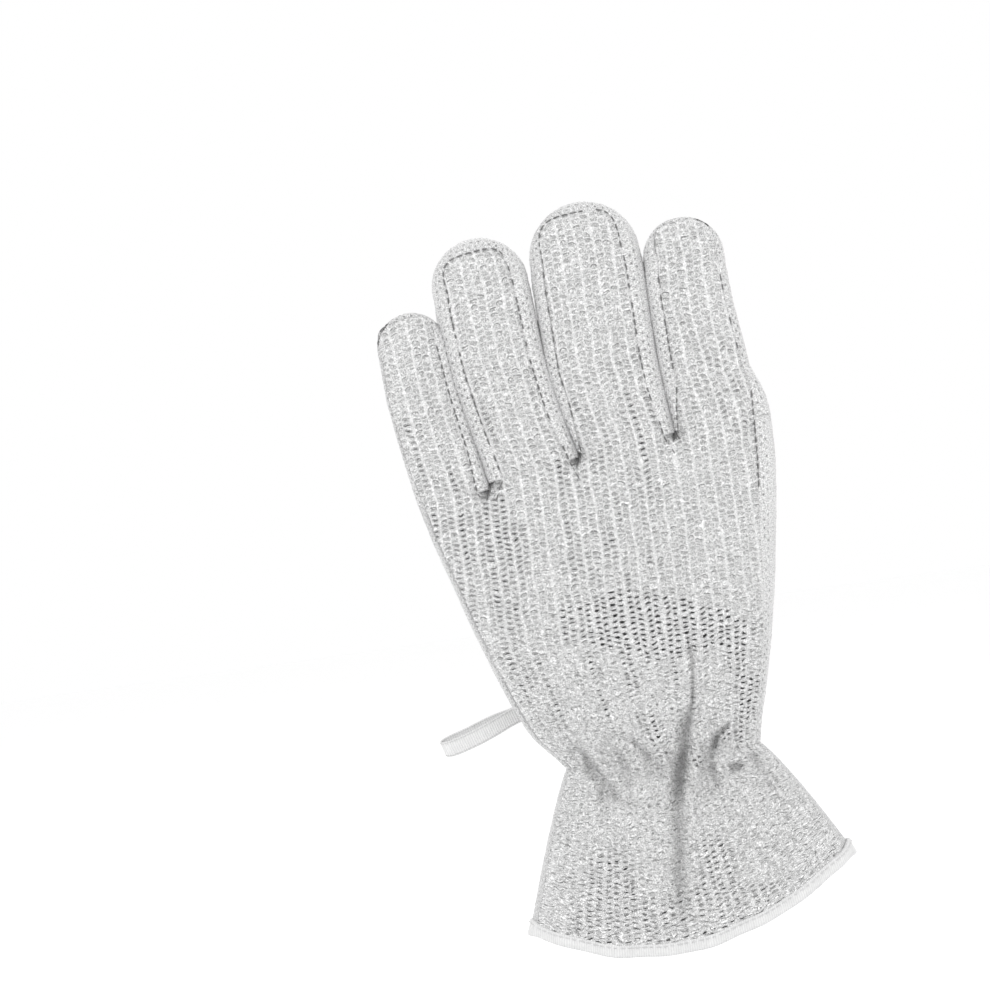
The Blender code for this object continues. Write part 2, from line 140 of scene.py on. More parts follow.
def smooth_table(heights, values, reach=7.0):
    """A table's values with its corners rounded over reach."""
    fine = np.arange(heights[0] - 3 * reach, heights[-1] + 3 * reach, 0.5)
    level = np.interp(fine, heights, values)
    level[fine < heights[0]] = values[0] + (fine[fine < heights[0]] - heights[0]) * (
        (values[1] - values[0]) / (heights[1] - heights[0]))
    window = np.hanning(int(reach / 0.5) * 2 + 1)
    return fine, np.convolve(level, window / window.sum(), mode="same")


HAND_LEFT = smooth_table(HAND_TABLE[:, 0], HAND_TABLE[:, 1])
HAND_RIGHT = smooth_table(HAND_TABLE[:, 0], HAND_TABLE[:, 2])
HAND_DEEP = smooth_table(HAND_TABLE[:, 0], HAND_TABLE[:, 3])
RIGHT_STRIP = smooth_table(HAND_TABLE[:, 0], HAND_TABLE[:, 4])
ROW_HEIGHTS = np.arange(-120.0, 260.0, 0.5)
ROW_NUMBERS = np.cumsum(0.5 / (COURSE + (FINGER_COURSE - COURSE) * smooth_step(
    (ROW_HEIGHTS - STRETCH_FROM) / (STRETCH_TO - STRETCH_FROM))))


def rows_at(height):
    """The number of the row of stitches at a height."""
    return np.interp(height, ROW_HEIGHTS, ROW_NUMBERS)


def hand_edges(z):
    return np.interp(z, *HAND_LEFT), np.interp(z, *HAND_RIGHT)


def oval(part, roundness):
    rest = np.clip(1.0 - np.abs(part) ** roundness, 0.0, 1.0)
    return rest ** (1.0 / roundness)


def hashed(*numbers):
    """A repeatable random value from 0 to 1 for whole numbers."""
    total = np.zeros(np.broadcast(*numbers).shape)
    for number, weight in zip(numbers, (127.1, 311.7, 74.7)):
        total = total + number * weight
    value = np.sin(total) * 43758.5453
    return value - np.floor(value)


def value_noise(x, y, seed=0.0):
    """Smooth noise from 0 to 1 on a plane, with features about one unit across."""
    cell_x, cell_y = np.floor(x), np.floor(y)
    part_x, part_y = smooth_step(x - cell_x), smooth_step(y - cell_y)
    low = hashed(cell_x, cell_y, seed) * (1 - part_x) + hashed(cell_x + 1, cell_y, seed) * part_x
    high = hashed(cell_x, cell_y + 1, seed) * (1 - part_x) + hashed(cell_x + 1, cell_y + 1, seed) * part_x
    return low * (1 - part_y) + high * part_y


# ---------------------------------------------------------------- knit relief

SLOT_LEAN = 0.14       # slots slant up to the right in even columns and down in odd ones
SLOT_SHIFT = 0.18      # and lie this much nearer to each other, in pairs
SLOT_WIDE, SLOT_TALL = 0.76, 0.21
OPEN_SLOT = 0.60       # slots as open as this go right through the fabric
PATCH_WIDE, PATCH_TALL, PATCH_SQUARE = 1.24, 0.66, 4.0     # grey ovals between the yarns
PAD_FROM, PAD_RUN = 154.0, 55.0            # rows, in mm, over which the ovals appear
FLOAT_LEAN = 0.9       # rise of the plain side's floats in one column, in rows
RIB_PITCH = 1.6        # from one rib of a side strip to the next
PIT_PITCH = 2.9        # from one pit of a side strip to the next
PIT_ROWS = ((1.5, 0.0), (3.1, 0.5))        # rows of pits: distance from the seam, and shift in pitches


def stitch_cell(across, rows):
    """Column, row and the place in one stitch; every second column is half a row higher."""
    column = np.floor(across / WALE)
    p = across / WALE - column
    odd = np.mod(column, 2.0)
    lean = 1.0 - 2.0 * odd
    height = rows + 0.5 * odd - SLOT_LEAN * lean * (p - 0.5)
    row = np.floor(height)
    x = (p - 0.5) * WALE - SLOT_SHIFT * lean
    return column, row, x, (height - row - 0.5) * ROW_SIZE


def wander(across, rows):
    """Weave coordinates with the small irregularities of loose yarn."""
    sway = 0.9 * value_noise(across / 4.0, rows / 3.0, 41.0) + 0.55 * value_noise(across / 1.6, rows, 42.0)
    heave = 0.55 * value_noise(across / 3.5, rows / 2.2, 43.0) + 0.4 * value_noise(across / 1.5, rows, 44.0)
    return across + sway - 0.72, rows + heave - 0.48


def patch(x, y, wide, tall, square=2.0):
    """1 inside a rounded oblong and 0 outside it."""
    return smooth_step((1.3 - np.abs(x / wide) ** square - (y / tall) ** 2) / 0.6)


def crinkle(across, rows):
    return value_noise(across / 0.9, rows * ROW_SIZE / 0.55, 31.0) - 0.5


def rib_relief(across, rows, slots):
    """Height of the ribbed side: raised yarns round each stitch, and a slot in its middle."""
    column, row, x, y = stitch_cell(across, rows)
    chance = hashed(column, row, 3.0)
    yarns = 1.0 - patch(x, y + 0.12, PATCH_WIDE, PATCH_TALL, PATCH_SQUARE)
    slot = patch(x, y, SLOT_WIDE, SLOT_TALL)
    depth = 0.9 * np.maximum(slots - 0.25, 0.0) * (0.35 + 0.65 * chance)
    zone = np.clip((rows * ROW_SIZE - PAD_FROM) / PAD_RUN, 0.0, 1.0)
    yarns = (0.07 + 0.13 * zone) * yarns * (0.5 + 0.5 * chance)
    return yarns - depth * slot + (0.34 - 0.12 * zone) * crinkle(across, rows)


def slot_faces(across, rows, slots):
    """True where a face lies in a slot that goes right through."""
    column, row, x, y = stitch_cell(across, rows)
    chance = hashed(column, row, 7.0)
    inside = (np.abs(x) < SLOT_WIDE * (0.75 + 0.2 * chance)) & (np.abs(y) < SLOT_TALL * (0.8 + 0.5 * chance))
    return inside & (slots > OPEN_SLOT + 0.35 * (chance - 0.5))


def plain_relief(across, rows):
    """Height of the plain side: short slanting floats, leaning the other way in every second column."""
    column = np.floor(across / WALE)
    p = across / WALE - column
    lean = 1.0 - 2.0 * np.mod(column, 2.0)
    q = np.mod(rows + lean * FLOAT_LEAN * (p - 0.5), 1.0)
    chance = hashed(column, np.floor(rows), 11.0)
    stroke = np.exp(-(((q - 0.5) * ROW_SIZE) / 0.42) ** 2)
    return 0.26 * stroke * (0.5 + 0.5 * chance) - 0.10 + 0.2 * crinkle(across, rows)


def strip_relief(across, along, edge):
    """Height of a side strip: fine ribs along it, and rows of small pits beside its seams."""
    ribs = 0.5 + 0.5 * np.cos(2 * math.pi * edge / RIB_PITCH)
    pits = 0.0
    for place, shift in PIT_ROWS:
        middle = np.mod(along / PIT_PITCH + shift, 1.0) - 0.5
        pits = pits + np.exp(-(middle * PIT_PITCH / 0.40) ** 2 - ((edge - place) / 0.38) ** 2)
    return 0.12 * ribs - 0.5 * pits + 0.3 * crinkle(across, along / ROW_SIZE)


# ---------------------------------------------------------------- meshes

def add_mesh(name, points, faces, material):
    """An object made of points in mm."""
    mesh = bpy.data.meshes.new(name)
    mesh.from_pydata((np.array(points) * MM).tolist(), [], faces)
    mesh.update()
    mesh.shade_smooth()
    mesh.materials.append(material)
    thing = bpy.data.objects.new(name, mesh)
    bpy.context.collection.objects.link(thing)
    return thing


def cloth_mesh(name, grids, material):
    """One mesh of one or more lattices: points in mm, weave coordinates, and faces that are left out."""
    points, weaves, quads = [], [], []
    count = 0
    for place, weave, holes, flip in grids:
        rows, columns = place.shape[:2]
        index = np.arange(rows * columns).reshape(rows, columns) + count
        quad = np.stack([index[:-1, :-1], index[:-1, 1:], index[1:, 1:], index[1:, :-1]], -1)
        if flip:
            quad = quad[..., ::-1]
        quad = quad.reshape(-1, 4)
        if holes is not None:
            quad = quad[~holes.reshape(-1)]
        points.append(place.reshape(-1, 3))
        weaves.append(weave.reshape(-1, 3))
        quads.append(quad)
        count += rows * columns
    points, weaves, quads = np.concatenate(points), np.concatenate(weaves), np.concatenate(quads)
    _, first, joined = np.unique(np.round(points / 0.004).astype(np.int64), axis=0,
                                 return_index=True, return_inverse=True)
    quads = joined.reshape(-1)[quads]
    points, weaves = points[first], weaves[first]
    faces = []
    for corners in quads.tolist():
        kept = [c for k, c in enumerate(corners) if c != corners[k - 1]]
        if len(kept) > 2 and len(set(kept)) == len(kept):
            faces.append(kept)
    used = np.zeros(len(points), bool)
    used[np.concatenate([np.array(face) for face in faces])] = True
    renumber = np.cumsum(used) - 1
    faces = [[int(renumber[c]) for c in face] for face in faces]
    thing = add_mesh(name, points[used], faces, material)
    weave = thing.data.attributes.new("weave", "FLOAT_VECTOR", "POINT")
    weave.data.foreach_set("vector", weaves[used].astype(np.float32).ravel())
    return thing


def centres(values):
    """A lattice's values at the middles of its faces."""
    return 0.25 * (values[:-1, :-1] + values[:-1, 1:] + values[1:, 1:] + values[1:, :-1])


def steps_between(low, high, step):
    """Places on whole steps between two ends, with both ends."""
    inside = np.arange(math.floor(low / step) + 1, math.ceil(high / step)) * step
    inside = inside[(inside > low + 0.2 * step) & (inside < high - 0.2 * step)]
    return np.concatenate([[low], inside, [high]])


def travel_along(points):
    """Distance travelled at each of a route's points."""
    return np.concatenate([[0.0], np.cumsum(np.linalg.norm(np.diff(points, axis=0), axis=1))])


def knit_weave(ribbed, across, number, slots, inside):
    """A panel's relief, weave coordinates and open faces; slots go through only where inside is true."""
    across, number = wander(across, number)
    weave = np.stack([across, number * ROW_SIZE, slots], -1)
    if not ribbed:
        return plain_relief(across, number), weave, None
    holes = slot_faces(centres(across), centres(number), centres(slots * inside))
    return rib_relief(across, number, slots), weave, holes


# ---------------------------------------------------------------- tubes

class Tube:
    """A tube of fabric with rounded ends, in its own frame: across, deep and along."""

    def __init__(self, joints, length, tip_deep, strips, crotch, tip_strip, shown, course, deep=None):
        first, second = (np.array(JOINTS[name]["pos_m"]) / MM for name in joints)
        self.foot = np.array((first[0], 0.0 if deep is None else first[1], first[2]))
        self.deep = (first[1] if deep is None else deep, tip_deep)
        self.along = np.array((second[0] - first[0], 0.0, second[2] - first[2]))
        self.along = self.along / np.linalg.norm(self.along)
        self.across = np.array((self.along[2], 0.0, -self.along[0]))
        self.length, self.strips, self.tip_strip, self.crotch = length, strips, tip_strip, crotch
        self.shown = shown
        places, shifts, widths = (np.array(column, float) for column in zip(*course))
        self.shifts = smooth_table(places, shifts, 4.0)
        self.widths = smooth_table(places, widths, 4.0)
        self.end = length - widths[-1]
        self.start_wide, self.end_wide = widths[0], widths[-1]
        self.base_round = deep is not None

    def shift(self, s):
        return np.interp(np.clip(s, 0.0, self.end), *self.shifts)

    def place(self, x, y, s):
        x, y, s = np.broadcast_arrays(x, y, s)
        x = x + self.shift(s)
        return self.foot + x[..., None] * self.across + s[..., None] * self.along + y[..., None] * PALMWARD

    def size(self, s):
        s = np.clip(s, 0.0, self.end)
        deep = self.deep[0] + (self.deep[1] - self.deep[0]) * smooth_step(s / self.end)
        return np.interp(s, *self.widths), deep

    def past(self, s):
        """How far a place lies in a rounded end."""
        return np.maximum(0.0, s - self.end) + (np.maximum(0.0, -s) if self.base_round else 0.0)

    def strip(self, s, side):
        """Visible width of the side strip on the left (side 0) or right (side 1) edge."""
        run = smooth_step(np.asarray(s) / CROTCH_RUN)
        return self.crotch[side] + (self.strips[side] - self.crotch[side]) * run

    def seam_reach(self, turn):
        """Distance of the seam from a rounded end's middle, in a direction; 0 is straight on."""
        place = np.array(self.end)
        wide = float(self.size(place)[0])
        strip = self.strip(place, 0 if turn < 0 else 1)
        part_x = abs(math.sin(turn)) / (wide - strip)
        part_s = abs(math.cos(turn)) / (wide - self.tip_strip)
        return float((part_x ** TIP_SQUARE + part_s ** TIP_SQUARE) ** (-1.0 / TIP_SQUARE))

    def seams(self, s):
        """Places of the left and right seams across the tube."""
        wide = self.size(s)[0]
        near = np.clip(self.past(s) / (wide - self.tip_strip), 0.0, 1.0)
        share = (1.0 - near ** TIP_SQUARE) ** (1.0 / TIP_SQUARE)
        return (self.strip(s, 0) - wide) * share, (wide - self.strip(s, 1)) * share

    def reach(self, s_end):
        """Last place along the tube that its panels reach."""
        return self.end + self.end_wide - self.tip_strip if s_end is None else s_end

    def section(self, x, s):
        """Half thickness of the tube, with the panels' crown and the seams' grooves."""
        wide, deep = self.size(s)
        past = self.past(s)
        left, right = self.seams(s)
        out = np.minimum(x - left, right - x)
        tip = wide - self.tip_strip - np.hypot(x * 0.92, past)
        edge = np.maximum(np.where(past > 0, np.minimum(out, np.maximum(tip, 0.0)), out), 0.0)
        crown = 0.7 * smooth_step(edge / 7.0)
        share = np.where(x < (left + right) / 2, self.shown[0], self.shown[2])
        share = share + (self.shown[1] - share) * smooth_step(past / 5.0)
        groove = SEAM_DEPTH * (0.2 + 0.8 * share) * np.exp(-(edge / SEAM_WIDTH) ** 2)
        return deep * oval(np.hypot(x, past) / wide, ROUNDNESS) + crown - groove, edge


def panel_grid(tube, side, low, high, ribbed=False):
    """The back (side -1) or palm (side +1) panel between two places along a tube."""
    high = tube.reach(high)
    reach = float(tube.widths[1].max()) + 1.0
    first = math.floor((tube.foot[0] - reach) / WALE_STEP)
    last = math.ceil((tube.foot[0] + reach) / WALE_STEP)
    columns = np.arange(first, last + 1) * WALE_STEP - tube.foot[0]
    rows = steps_between(low, high, ROW_STEP)
    s = np.repeat(rows[:, None], len(columns), 1)
    left, right = tube.seams(s)
    x = np.clip(columns[None, :] + 0 * s - tube.shift(0.0), left, right)
    section, edge = tube.section(x, s)
    across = columns[None, :] + tube.foot[0] + 0 * s
    tilt = x * tube.across[2] * (1.0 - smooth_step(s / 30.0))
    number = rows_at(tube.foot[2] + s + tilt)
    calm = smooth_step(edge / 1.0)
    flat = tube.place(x, 0 * s, s)
    slots = open_slots(flat[..., 0], flat[..., 2], across) if ribbed else np.zeros_like(s)
    lift, weave, holes = knit_weave(ribbed, across, number, slots, edge > 1.2)
    return tube.place(x, side * (section + lift * calm), s), weave, holes, side > 0


def strip_surface(tube, s, strip, t, side_along):
    """Out and deep of a strip with its crown, grooves and relief; t is -1 at the palm's seam, 1 at the back's."""
    wide, deep = tube.size(s)
    out = wide - strip * np.abs(t) ** 2.2
    y = -np.sign(t) * deep * oval(out / wide, ROUNDNESS)
    normal_out = (np.abs(out) / wide) ** (ROUNDNESS - 1) / wide
    normal_deep = (np.abs(y) / deep) ** (ROUNDNESS - 1) / deep * np.sign(y)
    size = np.hypot(normal_out, normal_deep)
    half = 0.5 * (strip + deep * 1.5)
    across = t * half
    edge = (1 - np.abs(t)) * half
    groove = SEAM_DEPTH * np.exp(-(edge / SEAM_WIDTH) ** 2)
    lift = strip_relief(across, side_along, edge) * smooth_step(edge / 0.8)
    move = lift + 0.35 * smooth_step(edge / 3.0) - groove
    return out + normal_out / size * move, y + normal_deep / size * move, across, edge


def side_grid(tube, side, low, high):
    """The strip on one edge between two places along a tube."""
    s, t = np.meshgrid(steps_between(low, high, STRIP_STEP), STRIP_ACROSS, indexing="ij")
    out, y, across, edge = strip_surface(tube, s, tube.strip(s, side), t, s)
    sign = 1 if side else -1
    place = tube.place(sign * out, y, s)
    return place, np.stack([across, s, edge], -1), None, side == 0


def end_grid(tube, edge, at_tip):
    """The strip up one edge, over a rounded end and down the other."""
    t = STRIP_ACROSS
    centre, way = (tube.end, 1.0) if at_tip else (0.0, -1.0)
    straight = steps_between(min(edge, centre), max(edge, centre), STRIP_STEP)
    straight = straight if at_tip else straight[::-1]
    turns = np.linspace(-math.pi / 2, math.pi / 2, int(math.pi * tube.end_wide / STRIP_STEP) + 1)
    rows = [(s, 0, None) for s in straight[:-1]]
    rows += [(centre, 0 if turn < 0 else 1, turn) for turn in turns]
    rows += [(s, 1, None) for s in straight[-2::-1]]
    length, previous = float(edge), None
    places, weaves = [], []
    for s, side, turn in rows:
        where = np.array(s)
        if turn is None:
            out, y, across, gap = strip_surface(tube, where, tube.strip(where, side), t, length)
            place = tube.place((2 * side - 1) * out, y, where)
        else:
            strip = float(tube.size(where)[0]) - tube.seam_reach(turn)
            out, y, across, gap = strip_surface(tube, where, strip, t, length)
            place = tube.place(out * math.sin(turn), y, centre + way * out * math.cos(turn))
        if previous is not None:
            length += float(np.linalg.norm(place[len(t) // 2] - previous))
        previous = place[len(t) // 2]
        places.append(place)
        weaves.append(np.stack([across, length + 0 * across, gap], -1))
    return [(np.array(places), np.array(weaves), None, at_tip)]


# Upper and lower edge of the band across the back where the fabric is stretched over the hand
BAND_TOP = ((-30, 59), (-2, 62), (15, 54), (28, 48), (34, 42), (42, 38))
BAND_LOW = ((-30, 46), (-26, 43), (-9, 36), (11, 32), (21, 37), (26, 34), (28, 6), (42, 4))
# Places where the stretched knit gapes between the creases: x, z, half width and half height
OPEN_SPOTS = ((22.0, 5.7, 3.2, 2.2), (28.2, 4.5, 1.8, 4.2), (31.2, 12.9, 1.4, 2.4), (-2.5, 9.9, 1.6, 4.4),
              (10.0, -2.0, 2.2, 1.6), (-0.3, 1.2, 1.8, 1.0))


def open_slots(x, z, across):
    """How open the slots are, from 0 to 1, over the back of the glove."""
    column = np.floor(across / WALE + 1e-6)
    streak = hashed(column, 0 * column, 21.0)
    drift = value_noise(x / 10.0, z / 18.0, 4.0)
    fine = value_noise(x / 3.6, z / 7.0, 9.0)
    sway = 5.0 * (drift - 0.5) + 4.0 * (streak - 0.5)
    band_top = np.interp(x, *zip(*BAND_TOP)) + sway
    band_low = np.interp(x, *zip(*BAND_LOW)) + sway
    band = smooth_step((z - band_low) / 4.0) * smooth_step((band_top - z) / 4.0)
    band = band * (0.45 + 0.55 * smooth_step((x + 24.0) / 14.0)) * smooth_step((x + 34.0) / 6.0)
    band = band * (1.0 - 0.5 * smooth_step((30.0 - z) / 10.0)) * smooth_step((36.0 - x) / 4.0)
    band = band * (1.0 - 0.4 * smooth_step((x - 25.0) / 3.0) * smooth_step((44.0 - z) / 10.0))
    lower = smooth_step((streak - 0.55) / 0.2) * smooth_step((z - 8.0) / 8.0) * smooth_step((46.0 - z) / 8.0)
    edge = smooth_step((-38.0 - x - (45.0 - z) * 0.20) / 10.0) * smooth_step((104.0 - z) / 14.0)
    edge = edge * smooth_step((z - 4.0) / 14.0) * (0.55 + 0.45 * smooth_step((z - 60.0) / 25.0))
    spots = 0.0
    for place_x, place_z, wide, tall in OPEN_SPOTS:
        spots = spots + np.exp(-((x - place_x) / wide) ** 2 - ((z - place_z) / tall) ** 2)
    hem = smooth_step((-22.0 - z) / 20.0)
    hem_streaks = 1.3 * np.exp(-((x + 24.0) / 6.0) ** 2) + 1.3 * np.exp(-((x - 11.0) / 5.0) ** 2) + 0.9 * smooth_step(
        (-44.0 - z) / 10.0) * smooth_step((36.0 - x) / 8.0) * smooth_step((x + 42.0) / 8.0)
    fingers = smooth_step((z - 96.0) / 14.0) * smooth_step((150.0 - z) / 36.0) * smooth_step((streak - 0.5) / 0.3)
    upper = smooth_step((z - 50.0) / 10.0) * smooth_step((112.0 - z) / 10.0) * smooth_step((22.0 - x) / 20.0)
    level = 0.05 + 0.16 * fine + band * (0.60 + 0.45 * drift) + 0.45 * lower * fine
    level = level + 0.24 * upper * fine * (0.3 + streak)
    level = level + 0.44 * edge * (0.2 + drift) * (0.4 + 0.8 * streak) + 0.35 * fingers * fine
    level = level + 1.1 * spots * (0.5 + 0.8 * fine)
    level = level + hem * hem_streaks * (0.42 + 0.75 * streak + 0.30 * drift)
    return np.clip(level, 0.0, 1.0)


# ---------------------------------------------------------------- hand

TUBES = {name: Tube((f"{name}_knuckle", f"{name}_middle_joint"), **values) for name, values in FINGERS.items()}
THUMB_TUBE = Tube(("thumb_spread", "thumb_bend"), deep=5.9, **THUMB)


def top_edge(x):
    """Height of the line where the hand passes into the fingers."""
    knots_x, knots_z = [], []
    for tube in TUBES.values():
        for reach in (-tube.start_wide, tube.start_wide):
            corner = tube.place(reach, 0.0, 0.0)
            knots_x.append(corner[0])
            knots_z.append(corner[2])
    return np.interp(x, knots_x, knots_z)


def knuckle_height(x, z, filled):
    """Half thickness of the fingers' tubes, drawn on down into the hand, where their valleys fill up."""
    height = np.zeros(np.broadcast(x, z).shape)
    for tube in TUBES.values():
        slope = -tube.along[0] / tube.along[2]
        centre = tube.place(0.0, 0.0, 0.0)[0] + (tube.foot[2] - z) * slope
        local = (x - centre) / tube.across[0]
        near = np.abs(local) <= tube.start_wide + 1.5
        inside = np.clip(local, -tube.start_wide, tube.start_wide)
        section = np.maximum(tube.section(inside, 0.0 * inside)[0], 0.84 * tube.deep[0] * filled)
        height = np.where(near, np.maximum(height, section), height)
    return height


def hand_height(x, z):
    left, right = hand_edges(z)
    middle, half = (left + right) / 2, (right - left) / 2
    flat = np.interp(z, *HAND_DEEP) * oval(np.clip((x - middle) / half, -1, 1), HAND_ROUNDNESS)
    below = top_edge(x) - z
    part = smooth_step(1.0 - below / KNUCKLE_FADE) ** 1.3
    filled = 1.0 - smooth_step(1.0 - below / VALLEY_FADE)
    edge = np.minimum(x - left, right - x)
    filled = filled * smooth_step(edge / 6.0)
    return flat * (1 - part) + knuckle_height(x, z, filled) * part


GATHER_LEFT, GATHER_RIGHT = (float(v) for v in hand_edges(GATHER_TOP))


def gathered(across, z):
    """Place across the hand of a column of stitches, which the elastic draws towards the middle."""
    left, right = hand_edges(np.minimum(z, GATHER_TOP))
    part = (across - GATHER_LEFT) / (GATHER_RIGHT - GATHER_LEFT)
    return np.where(z < GATHER_TOP, left + (right - left) * part, across)


# Creases that the elastic gathers: points down each one (height, place across), its depth and its
# width, and the heights between which it is deepest
BACK_CREASES = (
    (((19, 12.6), (15, 11.6), (-3, 6.8), (-14, 4.0), (-22, 2.9)), 5.2, 1.35, 8, -8),
    (((3, 8.4), (-3, 6.8), (-14, 4.0), (-30, 1.8), (-64, -2.8)), 3.9, 1.15, -4, -42),
    (((46, 15.0), (26, 14.0), (15, 11.8), (8, 10.0)), 1.7, 0.42, 34, 12),
    (((14, -31), (1, -25), (-7, -20), (-14, -16.5)), 3.8, 1.3, 2, -10),
    (((13, -13), (8, -10), (-3, -2), (-9, 0.5)), 2.4, 1.2, 6, -4),
    (((11, 26), (4, 19.5), (-2, 16.4), (-9, 16.5), (-16, 18.5)), 3.2, 0.9, 4, -8),
    (((18, -20), (8, -18), (-2, -13), (-26, -14)), 1.9, 1.5, 4, -8),
    (((-2, 30.5), (-10, 33.5), (-22, 38)), 1.9, 1.5, -4, -12),
)
PALM_CREASES = (
    (((30, -16), (12, -14), (-6, -11), (-30, -13), (-56, -18)), 2.8, 1.6, 6, -24),
    (((36, 9), (12, 7), (-6, 5), (-28, 8), (-52, 12)), 3.0, 1.6, 6, -24),
    (((14, -29), (0, -23), (-12, -24)), 2.0, 1.5, 4, -8),
    (((12, 24), (0, 19), (-10, 21), (-26, 27)), 2.2, 1.5, 4, -8),
    (((10, -5), (-2, -3), (-14, -4)), 1.6, 1.4, 2, -8),
)
# Dents in the back: x, z, half width, half height and depth
DIMPLES = ((23.9, -6.9, 3.0, 1.5, 4.5), (-23.0, -10.5, 1.8, 3.4, 3.4))


def creases(x, z, side):
    """Depth and swelling of the creases on the back (side -1) or the palm (side +1)."""
    total = np.zeros(np.broadcast(x, z).shape)
    for route, depth, width, upper, lower in BACK_CREASES if side < 0 else PALM_CREASES:
        heights, places = (np.array(column, float) for column in zip(*sorted(route)))
        away = x - np.interp(z, heights, places)
        run = np.minimum(smooth_step((z - heights[0]) / (lower - heights[0])),
                         smooth_step((heights[-1] - z) / (heights[-1] - upper)))
        cut = np.where(away < 0, np.exp(-(away / (2.6 * width)) ** 2), np.exp(-(away / (0.45 * width)) ** 2))
        swell = np.exp(-((away - 2.6 * width) / (1.7 * width)) ** 2)
        total = total + run * depth * (0.55 * swell - cut)
    for place_x, place_z, wide, tall, depth in DIMPLES if side < 0 else ():
        total = total - depth * np.exp(-((x - place_x) / wide) ** 2 - ((z - place_z) / tall) ** 2)
    return total


def folds(x, z, side):
    """Height of the creases and of the small puckers over the elastic."""
    if np.ndim(side):
        return np.where(side < 0, folds(x, z, -1), folds(x, z, 1))
    sway = 1.5 * np.sin(x / 7.0 + 2.0 * side) + 2.0 * side
    pucker = 0.55 * np.sin(2 * math.pi * x / 6.3 + sway) * np.exp(-((z - 1.0) / 8.0) ** 2)
    waves = 0.9 * np.sin(2 * math.pi * x / 17.0 + 1.3 * side) * smooth_step(-z / 50.0)
    return creases(x, z, side) + pucker + waves


def right_groove(z):
    """How deep the right seam is beside the hand, as a part of the fingers' seams."""
    return RIGHT_GROOVE + (1.0 - RIGHT_GROOVE) * smooth_step((z - 70.0) / 25.0)


def hand_panel_grid(side):
    """The back (side -1) or palm (side +1) panel of the hand, from the wrist to the fingers."""
    columns = np.arange(math.floor(-80.0 / WALE_STEP), math.ceil(56.0 / WALE_STEP) + 1) * WALE_STEP
    rows = steps_between(0.0, 118.0, ROW_STEP)
    across, level = np.meshgrid(columns, rows)
    inner = np.clip(across, GATHER_LEFT, GATHER_RIGHT)
    x = gathered(np.where(level < GATHER_TOP, inner, across), level)
    z = np.minimum(level, top_edge(x))
    left, right = hand_edges(z)
    left, right = left + LEFT_STRIP, right - np.interp(z, *RIGHT_STRIP)
    x = np.clip(x, left, right)
    z = np.minimum(level, top_edge(x))
    edge = np.maximum(np.minimum(x - left, right - x), 0.0)
    share = np.where(x < 0, LEFT_GROOVE, right_groove(z)) if side < 0 else 1.0
    share = share * smooth_step((top_edge(x) - z) / 3.0)
    groove = SEAM_DEPTH * np.exp(-(edge / SEAM_WIDTH) ** 2) * share
    slots = open_slots(x, z, across) if side < 0 else np.zeros_like(z)
    inside = (edge > 1.2) & (z < top_edge(x) - 0.5)
    lift, weave, holes = knit_weave(side < 0, across, rows_at(z), slots, inside)
    y = hand_height(x, z) - groove + folds(x, z, side) * smooth_step(edge / 6.0) + lift * smooth_step(edge / 1.0)
    return np.stack([x, side * y, z], -1), weave, holes, side > 0


def hand_side_grid(side):
    """The strip down the left (0) or right (1) edge of the hand."""
    tube = TUBES["index_finger" if side else "little_finger"]
    sign = 1 if side else -1
    corner = tube.place(sign * tube.start_wide, 0.0, 0.0)
    rows = steps_between(0.0, float(corner[2]), STRIP_STEP)
    level, t = np.meshgrid(rows, STRIP_ACROSS, indexing="ij")
    left, right = hand_edges(level)
    strip = np.interp(level, *RIGHT_STRIP) if side else LEFT_STRIP + 0 * level
    edge_x = right if side else left
    x = edge_x - sign * strip * np.abs(t) ** 2.2
    y = -np.sign(t) * hand_height(x, level)
    deep = np.interp(level, *HAND_DEEP)
    half = 0.5 * (strip + deep * 1.5)
    across = t * half
    edge = (1 - np.abs(t)) * half
    share = np.where(t > 0, right_groove(level) if side else LEFT_GROOVE, 1.0)
    share = share * smooth_step((rows[-1] - level) / 3.0)
    groove = SEAM_DEPTH * np.exp(-(edge / SEAM_WIDTH) ** 2) * share
    lift = strip_relief(across, level, edge) * smooth_step(edge / 0.8)
    move = lift + 0.3 * smooth_step(edge / 3.0) - groove
    x = x + sign * move * (1 - np.abs(t) ** 2)
    y = y - np.sign(t) * move * np.abs(t) ** 2
    return np.stack([x, y, level], -1), np.stack([across, level, edge], -1), None, side == 0


# ---------------------------------------------------------------- cuff

WRIST_LEFT, WRIST_RIGHT = (float(v) for v in hand_edges(0.0))
WRIST_DEEP = float(np.interp(0.0, *HAND_DEEP))


def cuff_surface(part, level, side, proud=0.0):
    """A point of the cuff: part runs from -1 to 1 across it, level from 0 at the wrist to 1 at the hem."""
    flare = level ** CUFF_FLARE
    middle = (WRIST_LEFT + WRIST_RIGHT) / 2 * (1 - flare) + CUFF_HEM[0] * flare
    half = (WRIST_RIGHT - WRIST_LEFT) / 2 * (1 - flare) + CUFF_HEM[1] * flare
    deep = WRIST_DEEP * (1 - flare) + CUFF_HEM[2] * flare
    roundness = HAND_ROUNDNESS * (1 - flare) + CUFF_ROUNDNESS * flare
    x = middle + part * half
    z = level * (-HEM_DROP + HEM_RISE * part * part + HEM_SLANT * part)
    y = deep * oval(part, roundness)
    away = smooth_step((1 - np.abs(part)) * half / 6.0)
    y = y + folds(x, z, side) * away + proud
    return x, side * y, z


